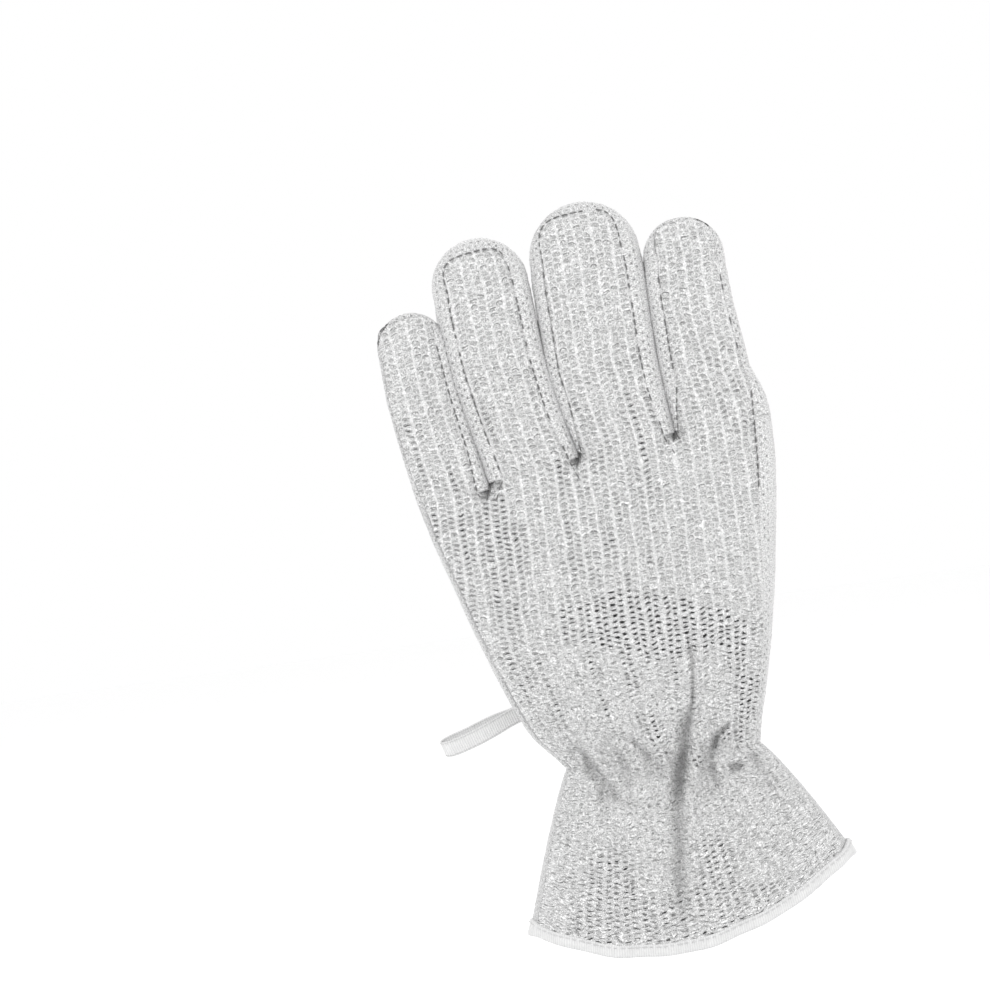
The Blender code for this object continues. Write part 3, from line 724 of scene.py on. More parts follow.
def cuff_panel_grid(side):
    """Half of the cuff, from the wrist to the hem."""
    inner = np.arange(math.floor(GATHER_LEFT / WALE_STEP) + 1, math.ceil(GATHER_RIGHT / WALE_STEP)) * WALE_STEP
    columns = np.concatenate([[GATHER_LEFT], inner, [GATHER_RIGHT]])
    across, down = np.meshgrid(columns, steps_between(0.0, HEM_DROP, ROW_STEP))
    part = (across - GATHER_LEFT) / (GATHER_RIGHT - GATHER_LEFT) * 2 - 1
    part = np.clip(part, CUFF_STRIP - 1, 1 - CUFF_STRIP)
    x, y, z = cuff_surface(part, down / HEM_DROP, side)
    edge = (1 - CUFF_STRIP - np.abs(part)) * (GATHER_RIGHT - GATHER_LEFT) / 2
    slots = open_slots(x, z, across) if side < 0 else 0 * z
    inside = (edge > 1.5) & (down < HEM_DROP - 5.0)
    lift, weave, holes = knit_weave(side < 0, across, rows_at(-down), slots, inside)
    return np.stack([x, y + side * lift * smooth_step(edge / 1.5), z], -1), weave, holes, side < 0


def cuff_side_grid(side):
    """The strip down the left (0) or right (1) edge of the cuff."""
    down, t = np.meshgrid(steps_between(0.0, HEM_DROP, STRIP_STEP), STRIP_ACROSS, indexing="ij")
    sign = 1 if side else -1
    part = sign * (1 - CUFF_STRIP * np.abs(t) ** 2.2)
    x, y, z = cuff_surface(part, down / HEM_DROP, np.where(t > 0, -1.0, 1.0))
    half = 7.0 + 8.0 * down / HEM_DROP
    edge = (1 - np.abs(t)) * half
    move = strip_relief(t * half, down, edge) * smooth_step(edge / 1.0)
    x = x + sign * move * (1 - np.abs(t) ** 2)
    return np.stack([x, y, z], -1), np.stack([t * half, down, edge], -1), None, side == 1


# ---------------------------------------------------------------- bands and ribbon

def band_mesh(name, rings, material):
    """A closed band: each ring runs round it, and the rings' order runs round its section."""
    rings = [np.concatenate([ring, ring[:1]]) for ring in rings]
    rings.append(rings[0])
    place = np.array(rings)
    around = travel_along(place[0])
    over = np.cumsum([0.0] + [float(np.abs(b - a).sum(1).mean()) for a, b in zip(place[:-1], place[1:])])
    weave = np.stack([around[None, :] + 0 * over[:, None], over[:, None] + 0 * around[None, :],
                      np.zeros(place.shape[:2])], -1)
    return cloth_mesh(name, [(place, weave, None, False)], material)


def even_turns(curve, step):
    """Turns at even distances round a closed curve."""
    turns = np.linspace(0.0, 2 * math.pi, 3601)
    travel = travel_along(curve(turns))
    count = int(travel[-1] / step)
    return np.interp(np.arange(count) * travel[-1] / count, travel, turns)


def outward_of(points):
    """Level directions out of a closed curve that runs round the glove."""
    way = np.roll(points, -1, 0) - np.roll(points, 1, 0)
    out = np.stack([way[:, 1], -way[:, 0], 0 * way[:, 0]], -1)
    out = out / np.maximum(np.linalg.norm(out, axis=1, keepdims=True), 1e-9)
    inside = points - points.mean(0)
    return out * np.sign((out * inside).sum(1).mean())


def section_rings(curve, turns, section):
    """Rings round the glove, one for each point of a band's section: distance outwards and height."""
    rings = []
    for out, height in section:
        points = curve(turns, height)
        rings.append(points + out * outward_of(points))
    return rings


def round_glove(turns):
    """Place across the glove, from -1 to 1, and the face, -1 for the back, of turns round it."""
    return -np.cos(turns), np.where(np.mod(turns, 2 * math.pi) < math.pi, -1.0, 1.0)


TAPE_STEP = 0.28
TAPE_SECTION = (       # distance out of the cuff's fabric and height above the hem
    (0.20, 3.95), (0.55, 3.80), (0.68, 3.2), (0.62, 2.6), (0.72, 1.6), (0.70, 0.5), (0.50, -0.10),
    (0.05, -0.32), (-0.40, -0.22), (-0.70, 0.3), (-0.75, 1.6), (-0.72, 2.8), (-0.55, 3.8), (-0.20, 3.95),
)


def hem_curve(turns, height):
    """Points round the cuff at a height above its hem."""
    part, side = round_glove(turns)
    x, y, z = cuff_surface(part, 1.0 + 0 * part, side)
    corner = np.exp(-((1 - np.abs(part)) * CUFF_HEM[1] / 1.6) ** 2) * (1.0 if height < 1.0 else -0.4)
    wave = 0.35 * np.sin(3.0 * turns + 0.7) + 0.22 * np.sin(11.0 * turns)
    inward = -height * 0.20 * (x - CUFF_HEM[0]) / CUFF_HEM[1]
    return np.stack([x + inward + 0.6 * corner * np.sign(part), y * (1 - 0.010 * height),
                     z + height + wave - 0.9 * corner], -1)


def hem_tape():
    turns = even_turns(lambda values: hem_curve(values, 0.0), TAPE_STEP)
    tape = band_mesh("hem_tape_band", section_rings(hem_curve, turns, TAPE_SECTION), TAPE)
    points = hem_curve(turns, 3.05)
    outward = outward_of(points)
    runs = []
    for out in (0.78, -0.86):
        runs += stitch_runs(points + out * outward, outward * np.sign(out), 2.5, 1.9)
    return tape, thread_mesh("hem_stitches", runs, 0.17, PALE_THREAD)


# Distance out of the fabric and height above the wrist
ELASTIC_SECTION = ((-2.0, 1.2), (-2.0, 4.2), (-2.0, 7.2), (-2.8, 7.2), (-2.8, 4.2), (-2.8, 1.2))


def wrist_curve(turns, height):
    """Points round the fabric at the wrist, with its creases."""
    part, side = round_glove(turns)
    left, right = hand_edges(height)
    x = (left + right) / 2 + part * (right - left) / 2
    fold = np.minimum(folds(x, height, side), 0.3)
    y = hand_height(x, height) + fold * smooth_step((1 - np.abs(part)) * 5.0)
    return np.stack([x, side * y, height + 0 * x], -1)


def wrist_elastic():
    turns = even_turns(lambda values: wrist_curve(values, 3.0), 0.45)
    return band_mesh("wrist_elastic_band", section_rings(wrist_curve, turns, ELASTIC_SECTION), ELASTIC)


LOOP_DROP = math.radians(17.0)
LOOP_LENGTH = 32.5
LOOP_OPEN = 2.8        # half the gap between the ribbon's two runs
LOOP_SPREAD = 0.6      # part of the loop over which they spread
RIBBON_WIDTH, RIBBON_THICK = 5.8, 0.5
RIBBON_RIB = 0.85      # from one cross rib to the next
LOOP_SEAM = np.array(JOINTS["loop_swing"]["pos_m"]) / MM
LOOP_OUT = np.array((-math.cos(LOOP_DROP), 0.0, -math.sin(LOOP_DROP)))
LOOP_UP = np.array((-math.sin(LOOP_DROP), 0.0, math.cos(LOOP_DROP)))


def loop_route():
    """Places along the folded ribbon: out from the seam, across the loop, and how far its edge rises."""
    bend = LOOP_LENGTH - LOOP_OPEN
    part = np.linspace(0.0, 1.0, 130)
    ease = 0.5 - 0.5 * np.cos(math.pi * np.minimum(1.0, part / LOOP_SPREAD))
    gap = 0.32 + (LOOP_OPEN - 0.32) * ease
    turn = np.linspace(0.0, math.pi, 44)[1:-1]
    out = np.concatenate([bend * part, bend + LOOP_OPEN * np.sin(turn), bend * part[::-1]])
    deep = np.concatenate([-gap, -LOOP_OPEN * np.cos(turn), gap[::-1]])
    rise = 0.75 * deep / LOOP_OPEN * smooth_step(out / 12.0) * smooth_step((LOOP_LENGTH + 6 - out) / 12.0)
    return out, deep, rise + 0.25 * np.sin(out / 5.0)


def hanging_loop():
    out, deep, rise = loop_route()
    travel = np.concatenate([[0.0], np.cumsum(np.hypot(np.diff(out), np.diff(deep)))])
    step_out, step_deep = np.gradient(out), np.gradient(deep)
    size = np.hypot(step_out, step_deep)
    normal_out, normal_deep = step_deep / size, -step_out / size
    half = RIBBON_THICK / 2
    edge = RIBBON_WIDTH / 2
    section = [(t, half) for t in np.linspace(-edge + 0.25, edge - 0.25, 15)] + [(edge, half * 0.3)]
    section += [(t, -half) for t in np.linspace(edge - 0.25, -edge + 0.25, 15)] + [(-edge, -half * 0.3)]
    section.append(section[0])
    ribs = 0.05 * np.sin(2 * math.pi * travel / RIBBON_RIB)

    def place(height, off):
        return (LOOP_SEAM + (out + normal_out * off)[:, None] * LOOP_OUT + (height + rise)[:, None] * LOOP_UP
                + (deep + normal_deep * off)[:, None] * PALMWARD)

    columns, weaves = [], []
    for height, thick in section:
        off = thick + ribs * np.sign(thick) * (abs(height) < edge - 0.9) * (1.0 if abs(thick) == half else 0.0)
        welt = 0.10 * np.sign(thick) * math.exp(-((abs(height) - edge + 0.55) / 0.3) ** 2)
        columns.append(place(height, off + welt))
        weaves.append(np.stack([height + 0 * travel, travel, 0 * travel], -1))
    grid = (np.stack(columns, 1), np.stack(weaves, 1), None, False)
    ribbon = cloth_mesh("hanging_loop_ribbon", [grid], RIBBON)
    outward = normal_out[:, None] * LOOP_OUT + normal_deep[:, None] * PALMWARD
    runs = []
    for height in (-edge + 0.6, edge - 0.6):
        runs += stitch_runs(place(height, half + 0.12)[6:-6], outward[6:-6], 1.7, 1.1)
    return ribbon, thread_mesh("hanging_loop_stitches", runs, 0.11, PALE_THREAD)


def loop_tack():
    """Stitches over the loop's sewn ends, on the side away from the hand."""
    runs = []
    for k in range(9):
        height = -3.0 + 6.0 * k / 8
        for lean in (-0.35, 0.35):
            ends = []
            for way in (-1.0, 1.0):
                place = LOOP_SEAM + way * 1.1 * LOOP_OUT + (height + lean * way) * LOOP_UP
                place[1] += 1.15
                ends.append(place)
            runs.append((*ends, PALMWARD))
    return thread_mesh("loop_tack_stitches", runs, 0.24, PALE_THREAD)


def thumb_neck():
    """The short round way from the palm into the folded thumb."""
    turn = np.linspace(0.0, 2 * math.pi, 61)
    depth = np.linspace(-8.5, -3.5, 10)
    turn, depth = np.meshgrid(turn, depth)
    radius = 6.6 + 0.35 * (depth + 6.0) ** 2 / 6.0
    foot = THUMB_TUBE.foot
    lift = 0.12 * np.sin(14 * turn)
    place = np.stack([foot[0] + (radius + lift) * np.cos(turn), foot[1] + depth,
                      foot[2] + (radius + lift) * np.sin(turn)], -1)
    weave = np.stack([radius * turn, depth, 0 * depth], -1)
    return cloth_mesh("thumb_neck_knit", [(place, weave, None, False)], STRIP_KNIT)


# ---------------------------------------------------------------- materials

class Value:
    """A node's output. Arithmetic on it adds math nodes."""

    def __init__(self, graph, socket):
        self.graph, self.socket = graph, socket

    def __add__(self, other):
        return self.graph.math("ADD", self, other)

    def __sub__(self, other):
        return self.graph.math("SUBTRACT", self, other)

    def __rsub__(self, other):
        return self.graph.math("SUBTRACT", other, self)

    def __mul__(self, other):
        return self.graph.math("MULTIPLY", self, other)

    def __abs__(self):
        return self.graph.math("ABSOLUTE", self)

    def __floor__(self):
        return self.graph.math("FLOOR", self)


class Graph:
    """Short ways to write a material's nodes."""

    def __init__(self, name):
        self.material = bpy.data.materials.new(name)
        self.material.use_nodes = True
        self.tree = self.material.node_tree
        self.shader = self.tree.nodes["Principled BSDF"]

    def put(self, socket, value):
        if isinstance(value, Value):
            self.tree.links.new(value.socket, socket)
        else:
            socket.default_value = value

    def node(self, kind, *values, **settings):
        node = self.tree.nodes.new("ShaderNode" + kind)
        for name, value in settings.items():
            setattr(node, name, value)
        for socket, value in zip(node.inputs, values):
            self.put(socket, value)
        return node

    def math(self, operation, *values):
        return Value(self, self.node("Math", *values, operation=operation).outputs[0])

    def bell(self, distance, width):
        """exp(-(distance / width)^2)"""
        scaled = distance * (1.0 / width)
        return self.math("EXPONENT", scaled * scaled * -1.0)

    def weave(self):
        vector = Value(self, self.node("Attribute", attribute_name="weave").outputs["Vector"])
        return (vector, *(Value(self, part) for part in self.node("SeparateXYZ", vector).outputs))

    def join(self, x, y, z=0.0):
        return Value(self, self.node("CombineXYZ", x, y, z).outputs[0])

    def noise(self, vector, scale, detail=2.0, roughness=0.5):
        node = self.node("TexNoise", vector)
        for name, value in (("Scale", scale), ("Detail", detail), ("Roughness", roughness)):
            node.inputs[name].default_value = value
        return Value(self, node.outputs[0])

    def chance(self, x, y, z):
        """A random number for each stitch."""
        node = self.node("TexWhiteNoise", self.join(x, y, z), noise_dimensions="3D")
        return Value(self, node.outputs["Value"])

    def patch(self, x, y, wide, tall, square=2.0):
        """1 inside a rounded oblong and 0 outside it."""
        across = self.math("POWER", self.math("ABSOLUTE", x * (1.0 / wide)), square)
        over = self.math("POWER", self.math("ABSOLUTE", y * (1.0 / tall)), 2.0)
        return self.clamp((1.3 - (across + over)) * (1.0 / 0.6))

    def spread(self, value, middle, gain):
        """A noise stretched about its middle and cut off at 0 and 1."""
        return self.clamp((value - middle) * gain + 0.5)

    def clamp(self, value):
        return self.math("MINIMUM", self.math("MAXIMUM", value, 0.0), 1.0)

    def blend(self, part, *colours):
        """From the first colour to the second; a plain number is a grey."""
        node = self.node("Mix", part, data_type="RGBA")
        for socket, colour in zip(node.inputs[6:8], colours):
            self.put(socket, colour if isinstance(colour, Value) else (colour, colour, colour, 1.0))
        return Value(self, node.outputs[2])

    def bump(self, height, strength, distance):
        node = self.node("Bump")
        for name, value in (("Strength", strength), ("Distance", distance), ("Height", height)):
            self.put(node.inputs[name], value)
        self.tree.links.new(node.outputs[0], self.shader.inputs["Normal"])

    def set(self, **values):
        for name, value in values.items():
            self.put(self.shader.inputs[name.replace("_", " ")], value)


def column_nodes(graph, across):
    """A stitch's column, the place across it from -0.5 to 0.5, and 1 in even columns or -1 in odd ones."""
    column = math.floor(across * (1.0 / WALE))
    odd = graph.math("MODULO", column + 1000.0, 2.0)
    return column, across * (1.0 / WALE) - column - 0.5, odd, 1.0 - odd * 2.0


def yarn_noise(graph, vector, gain=6.0):
    return graph.spread(graph.noise(vector, YARN_SCALE, 1.0, 0.6), 0.5, gain)


def metal(graph, colour, fine, height, strength, distance):
    """Sets a knit's shader and gives its material."""
    graph.set(Base_Color=colour, Metallic=0.2, Roughness=fine * 0.3 + 0.25)
    graph.bump(height, strength, distance)
    return graph.material


def knit_ribbed(name):
    """Silver yarn, ribbed side: a net of thin bright yarns over grey ovals, with painted shade in its arcs and slots.
    """
    graph = Graph(name)
    vector, across, rows, slots = graph.weave()
    column, middle, odd, lean = column_nodes(graph, across)
    height = rows * (1.0 / ROW_SIZE) + odd * 0.5 - lean * middle * SLOT_LEAN
    row = math.floor(height)
    x = middle * WALE - lean * SLOT_SHIFT
    y = (height - row - 0.5) * ROW_SIZE
    chance = graph.chance(column, row, 0.0)
    other = graph.chance(column, row, 5.0)
    fine = yarn_noise(graph, vector)
    streaks = graph.noise(graph.join(across * 0.55, rows * 1.55), 1.0, 2.0, 0.55)
    fibre_glints = graph.spread(streaks, 0.60, 9.0)
    worn = graph.spread(graph.noise(graph.join(across, rows, 7.0), 0.55, 1.0, 0.5), 0.45, 3.5)
    ovals = graph.patch(x, y + 0.05, PATCH_WIDE, PATCH_TALL, PATCH_SQUARE)
    zone = graph.clamp((rows - PAD_FROM) * (1.0 / PAD_RUN))
    pads = ovals * (worn * 0.45 + 0.55) * zone + (1.0 - zone) * (ovals * 0.25 + 0.35)
    grey = graph.blend(fine, RIB_GREY, RIB_PALE)
    colour = graph.blend(pads, graph.blend(fine, YARN_GREY, YARN_BRIGHT), grey)
    colour = graph.blend((1.0 - worn) * 0.20, colour, grey)
    # Bright fibres: partly the film yarn's own pale tone, partly painted glints.
    colour = graph.blend(fibre_glints * (0.95 - ovals * (zone * 0.30 + 0.05)), colour, BRIGHT_YARN_AND_GLINT)
    beside = (0.5 - abs(middle)) * WALE
    colour = graph.blend(graph.bell(beside, 0.24) * (zone * 0.35 + 0.1), colour, BRIGHT_YARN_AND_GLINT)
    # Slots, arcs and specks are painted near black: painted shade where the knit opens onto the shadowed hollow
    # inside the glove. The more open a slot, the darker it is painted.
    crown = 0.58 - x * x * 0.34
    arc = graph.bell(y - crown, ARC_WIDTH) * graph.patch(x, 0.0, 1.1, 1.0)
    arc = arc * graph.clamp((slots * 1.5 + (other - ARC_FROM)) * 2.2)
    arc = arc * (1.0 - graph.clamp(slots * 1.2))
    slot = graph.patch(x, y, SLOT_WIDE, SLOT_TALL)
    slot = slot * graph.clamp((slots - 0.13) * (chance * 2.2 + 1.4))
    specks = graph.clamp((0.42 - streaks) * 8.0) * (0.66 - zone * 0.46)
    dark = graph.clamp(graph.math("MAXIMUM", graph.math("MAXIMUM", slot, specks), arc * ARC_SHADE))
    height = (1.0 - ovals) * 0.7 * zone + fine * 0.9 + dark * -1.2
    return metal(graph, graph.blend(dark, colour, GAP_SHADE), fine, height, 1.0, 0.0004)


def knit_plain(name):
    """Silver yarn, plain side: bright slanting floats over grey."""
    graph = Graph(name)
    vector, across, rows, _ = graph.weave()
    column, middle, odd, _ = column_nodes(graph, across)
    place = rows * (1.0 / ROW_SIZE) + (FLOAT_LEAN - odd * (2 * FLOAT_LEAN)) * middle
    row = math.floor(place)
    chance = graph.chance(column, row, 1.0)
    stroke = graph.bell((place - row - 0.5) * ROW_SIZE, 0.42) * (chance * 0.6 + 0.4)
    fine = yarn_noise(graph, vector)
    colour = graph.blend(stroke, graph.blend(fine, RIB_GREY, RIB_PALE), BRIGHT_YARN_AND_GLINT)
    return metal(graph, colour, fine, stroke + fine * 0.9, 0.8, 0.0003)


def knit_strip(name):
    """Silver yarn, fine crinkled ribs along a side strip with rows of pits, painted dark as painted shade."""
    graph = Graph(name)
    _, across, along, edge = graph.weave()
    ribs = graph.math("COSINE", edge * (2 * math.pi / RIB_PITCH))
    pits = 0.0
    for row, shift in PIT_ROWS:
        place = along * (1.0 / PIT_PITCH) + shift
        number = math.floor(place)
        spot = graph.bell((place - number - 0.5) * PIT_PITCH, 0.46) * graph.bell(edge - row, 0.40)
        pits = graph.math("MAXIMUM", pits, spot * (graph.chance(number, row, 2.0) + 0.3))
    fine = graph.spread(graph.noise(graph.join(across, along), 2.2, 1.0, 0.6), 0.5, 4.4)
    floats = graph.noise(graph.join(across * 1.1, along * 0.85), 1.0, 2.0, 0.6)
    fibre_glints = graph.spread(floats, 0.62, 7.0)
    # Bright fibres: partly the film yarn's own pale tone, partly painted glints.
    colour = graph.blend(fibre_glints * 0.8, graph.blend(fine, STRIP_GREY, STRIP_PALE), BRIGHT_YARN_AND_GLINT)
    # Pits and the gaps between floats are painted dark: painted shade in recesses.
    dark = graph.clamp(pits * 0.60 + graph.clamp((0.36 - floats) * 5.0) * 0.5)
    return metal(graph, graph.blend(dark, colour, GAP_SHADE), fine, fine + fibre_glints + ribs * 0.2, 0.8, 0.0003)


def object_noise(graph, scale, detail=2.0):
    return graph.noise(Value(graph, graph.node("TexCoord").outputs["Object"]), scale, detail)


def woven(name, along, pitch, edges):
    """White woven tape or ribbon, with fine ribs across it and darker welts along its edges."""
    graph = Graph(name)
    vector, *ways = graph.weave()
    beside = ways[1 - along]
    rib = graph.math("SINE", ways[along] * (2 * math.pi / pitch)) * 0.5 + 0.5
    warp = graph.math("SINE", beside * (2 * math.pi / 0.45))
    welt = graph.bell(abs(beside) - edges, 0.22)
    shade = graph.math("POWER", 1.0 - rib, 2.0) * 0.30 + welt * 0.45
    colour = graph.blend(graph.noise(vector, 0.5), 0.66, 0.82)
    graph.set(Base_Color=graph.blend(graph.clamp(shade), colour, 0.42), Roughness=0.55)
    graph.bump(rib * 0.8 + warp * 0.2, 0.6, 0.0002)
    return graph.material


def thread_material(name, dark, light):
    """Twisted sewing thread."""
    graph = Graph(name)
    twist = object_noise(graph, 2600.0, 1.0)
    graph.set(Base_Color=graph.blend(twist, dark, light), Roughness=0.6)
    graph.bump(twist, 0.4, 0.0001)
    return graph.material


def elastic_material(name):
    graph = Graph(name)
    vector, around, _, _ = graph.weave()
    graph.set(Base_Color=graph.blend(graph.noise(vector, 0.8), 0.62, 0.85), Roughness=0.8)
    graph.bump(graph.math("SINE", around * (2 * math.pi / 0.9)), 0.6, 0.0003)
    return graph.material


# Greys of the yarns and of what lies between them. The darkest is painted shade in the knit's slots, arcs and pits.
# The lightest is partly the film yarn's own pale tone and partly painted glints.
RIB_GREY, RIB_PALE = 0.43, 0.80
YARN_GREY, YARN_BRIGHT, BRIGHT_YARN_AND_GLINT = 0.76, 1.0, 1.0
STRIP_GREY, STRIP_PALE = 0.52, 0.96
GAP_SHADE = 0.035
ARC_WIDTH, ARC_FROM, ARC_SHADE = 0.125, 0.82, 0.95
YARN_SCALE = 2.3

HAND_RIB = knit_ribbed("silver_knit_ribbed")
HAND_PLAIN = knit_plain("silver_knit_plain")
STRIP_KNIT = knit_strip("silver_knit_strip")
TAPE = woven("white_hem_tape", 0, 0.85, 99.0)
RIBBON = woven("white_ribbon", 1, RIBBON_RIB, 2.35)
SEAM_THREAD = thread_material("grey_seam_thread", 0.09, 0.24)
PALE_THREAD = thread_material("pale_thread", 0.45, 0.75)
ELASTIC = elastic_material("white_elastic")


# ---------------------------------------------------------------- stitches

STITCH_PITCH, STITCH_LENGTH, STITCH_RADIUS = 3.1, 2.1, 0.22
HIDDEN_SHARE = 0.15    # stitches that the fabric covers


def thread_mesh(name, runs, radius, material):
    """Short straight stitches: each run is a pair of ends in mm, with an outward direction."""
    points, faces = [], []
    for start, end, outward in runs:
        start, end, outward = np.array(start), np.array(end), np.array(outward)
        way = end - start
        length = np.linalg.norm(way)
        if length < 0.2:
            continue
        way = way / length
        beside = np.cross(way, outward)
        beside = beside / max(1e-9, np.linalg.norm(beside))
        upward = np.cross(beside, way)
        base = len(points)
        rings = ((0.0, 0.35, -0.5), (0.18, 1.0, 0.25), (0.5, 1.0, 0.5), (0.82, 1.0, 0.25), (1.0, 0.35, -0.5))
        for place, size, arch in rings:
            centre = start + way * length * place + upward * radius * arch
            for k in range(6):
                turn = 2 * math.pi * k / 6
                points.append(centre + radius * size * (beside * math.cos(turn) + upward * math.sin(turn)))
        for ring in range(len(rings) - 1):
            for k in range(6):
                a, b = base + ring * 6 + k, base + ring * 6 + (k + 1) % 6
                faces.append((a, b, b + 6, a + 6))
        faces.append(tuple(base + k for k in reversed(range(6))))
        faces.append(tuple(base + (len(rings) - 1) * 6 + k for k in range(6)))
    return add_mesh(name, points, faces, material)


def stitch_runs(route, outward, pitch=STITCH_PITCH, length=STITCH_LENGTH, missing=0.0):
    """Stitches spaced evenly along a route of points."""
    route = np.array(route)
    outward = np.broadcast_to(outward, route.shape)
    travel = travel_along(route)
    runs = []
    for start in np.arange(0.3, travel[-1] - length, pitch):
        chance = float(hashed(start, route[0][0], route[0][2]))
        if chance < missing:
            continue
        ends = []
        for place in (start, start + length * (0.7 + 0.5 * chance)):
            ends.append([np.interp(place, travel, route[:, k]) for k in range(3)])
        nearest = int(np.argmin(np.abs(travel - start)))
        runs.append((*ends, outward[nearest]))
    return runs


def seam_route(tube, side, facing, low, high):
    """Points down in a seam's groove, on the back (facing -1) or palm (facing +1)."""
    s = np.arange(low, high, 0.6)
    place = tube.seams(s)[1 if side else 0]
    return tube.place(place, facing * (tube.section(place, s)[0] + 0.30), s)


def tip_route(tube, facing):
    """Points along the seam round the tip."""
    turns = np.linspace(-math.pi / 2, math.pi / 2, 60)
    reach = np.array([tube.seam_reach(turn) for turn in turns]) - 0.15
    x, past = reach * np.sin(turns), reach * np.cos(turns)
    height = float(tube.size(tube.end)[1]) * oval(reach / float(tube.size(tube.end)[0]), ROUNDNESS)
    return tube.place(x, facing * (height - SEAM_DEPTH + 0.35), tube.end + past)


def segment_stitches(name, tube, low, high):
    runs = []
    for facing in (-1, 1):
        shown = tube.shown if facing < 0 else (1.0, 1.0, 1.0)
        for side in (0, 1):
            if shown[2 * side] < 0.5:
                continue
            route = seam_route(tube, side, facing, low, tube.end if high is None else high)
            runs += stitch_runs(route, facing * PALMWARD, missing=HIDDEN_SHARE + 1 - shown[2 * side])
        if high is None and shown[1] > 0.5:
            runs += stitch_runs(tip_route(tube, facing), facing * PALMWARD, missing=HIDDEN_SHARE)
    return thread_mesh(name, runs, STITCH_RADIUS, SEAM_THREAD)


def hand_stitches():
    """Stitches down the hand's side seams, and the thread ends in the forks between the fingers."""
    runs = []
    for facing, right_side in ((-1, True), (1, True), (1, False)):
        z = np.arange(88.0 if facing < 0 else 10.0, 113.0 if right_side else 96.0, 0.6)
        left, right = hand_edges(z)
        x = right - np.interp(z, *RIGHT_STRIP) if right_side else left + LEFT_STRIP
        y = hand_height(x, z) - SEAM_DEPTH + 0.30
        runs += stitch_runs(np.stack([x, facing * y, z], -1), facing * PALMWARD)
    tubes = list(TUBES.values())
    for first, second in zip(tubes[:-1], tubes[1:]):
        fork = (first.place(first.start_wide, 0, 0.0) + second.place(-second.start_wide, 0, 0.0)) / 2
        for corner in (first.place(first.seams(0.0)[1], 0, 0.0), second.place(second.seams(0.0)[0], 0, 0.0)):
            if abs(corner[0] - fork[0]) < 2.0:
                continue
            part = np.linspace(0.0, 1.0, 16)
            x = corner[0] + (fork[0] + 0.18 * (corner[0] - fork[0]) - corner[0]) * part
            z = np.minimum(corner[2], top_edge(x)) - 0.2 - FORK_RUN * part
            for facing in (-1, 1):
                route = np.stack([x, facing * (hand_height(x, z) + 0.05), z], -1)
                runs += stitch_runs(route, facing * PALMWARD)
        for facing in (-1, 1):
            for reach_x, high, low in ((-1.5, 0.8, -4.6), (1.4, 0.8, -3.6), (0.1, 1.2, -2.4)):
                ends = []
                for x, z in ((fork[0], fork[2] + high), (fork[0] + reach_x, fork[2] + low)):
                    y = float(hand_height(np.array(x), np.array(min(z, fork[2]))))
                    ends.append((x, facing * (y + 0.35), z))
                runs.append((*ends, facing * PALMWARD))
    return thread_mesh("hand_seam_stitches", runs, STITCH_RADIUS, SEAM_THREAD)


# ---------------------------------------------------------------- building the pieces

def settle(piece, slot_name, nodes, body, other=None, start=None, end=None):
    """Attaches a piece to its body, or, given a second body, only bakes its transform; hides the model's parts that
    it replaces.
    """
    if other is None:
        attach(piece, body)
    else:
        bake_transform(piece)
    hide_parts(*nodes)


def knit(name, grids, look, *ride):
    """Makes a piece of knit and settles it."""
    settle(cloth_mesh(name, grids, look), *ride)


SEGMENTS = ("base", "mid", "tip")
KNUCKLE_SHARES = (0.0, 0.43, 0.72)
BEND_RUN = 22.0        # length of fabric about a knuckle, from which each piece's two end points are found


def joint_stations(tube):
    """Places along a finger of its three joints and of the middles between them."""
    joints = [share * tube.length for share in KNUCKLE_SHARES]
    breaks = [0.0, (joints[0] + joints[1]) / 2 + 2.0, (joints[1] + joints[2]) / 2, None]
    return joints, breaks


def finger_pieces(name):
    tube = TUBES[name]
    joints, breaks = joint_stations(tube)
    bodies = ["hand"] + [f"{name}_{segment}" for segment in SEGMENTS]
    for k, segment in enumerate(SEGMENTS):
        low, high = breaks[k], breaks[k + 1]
        title = f"{name}_{segment}"
        top = high or 1e9
        reach = (joints[k], min(joints[k] + BEND_RUN, top)) if k == 0 else (
            max(low, joints[k] - BEND_RUN / 2), min(joints[k] + BEND_RUN / 2, top))
        bend = (bodies[k], bodies[k + 1], *(tuple(tube.place(0.0, tube.deep[0], s) * MM) for s in reach))
        if high is None:
            strips, strip_nodes = end_grid(tube, low, True), [f"{title}_strip"]
        else:
            strips = [side_grid(tube, side, low, high) for side in (0, 1)]
            strip_nodes = [f"{title}_strip_outer", f"{title}_strip_inner"]
        back, palm = panel_grid(tube, -1, low, high, True), panel_grid(tube, 1, low, high)
        knit(f"{title}_back_knit", [back], HAND_RIB, "knit_back", [f"{title}_back"], *bend)
        knit(f"{title}_palm_knit", [palm], HAND_PLAIN, "knit_palm", [f"{title}_palm"], *bend)
        knit(f"{title}_strip_knit", strips, STRIP_KNIT, "knit_strip", strip_nodes, *bend)
        settle(segment_stitches(f"{title}_seam_stitches", tube, low, high), "thread", [], *bend)


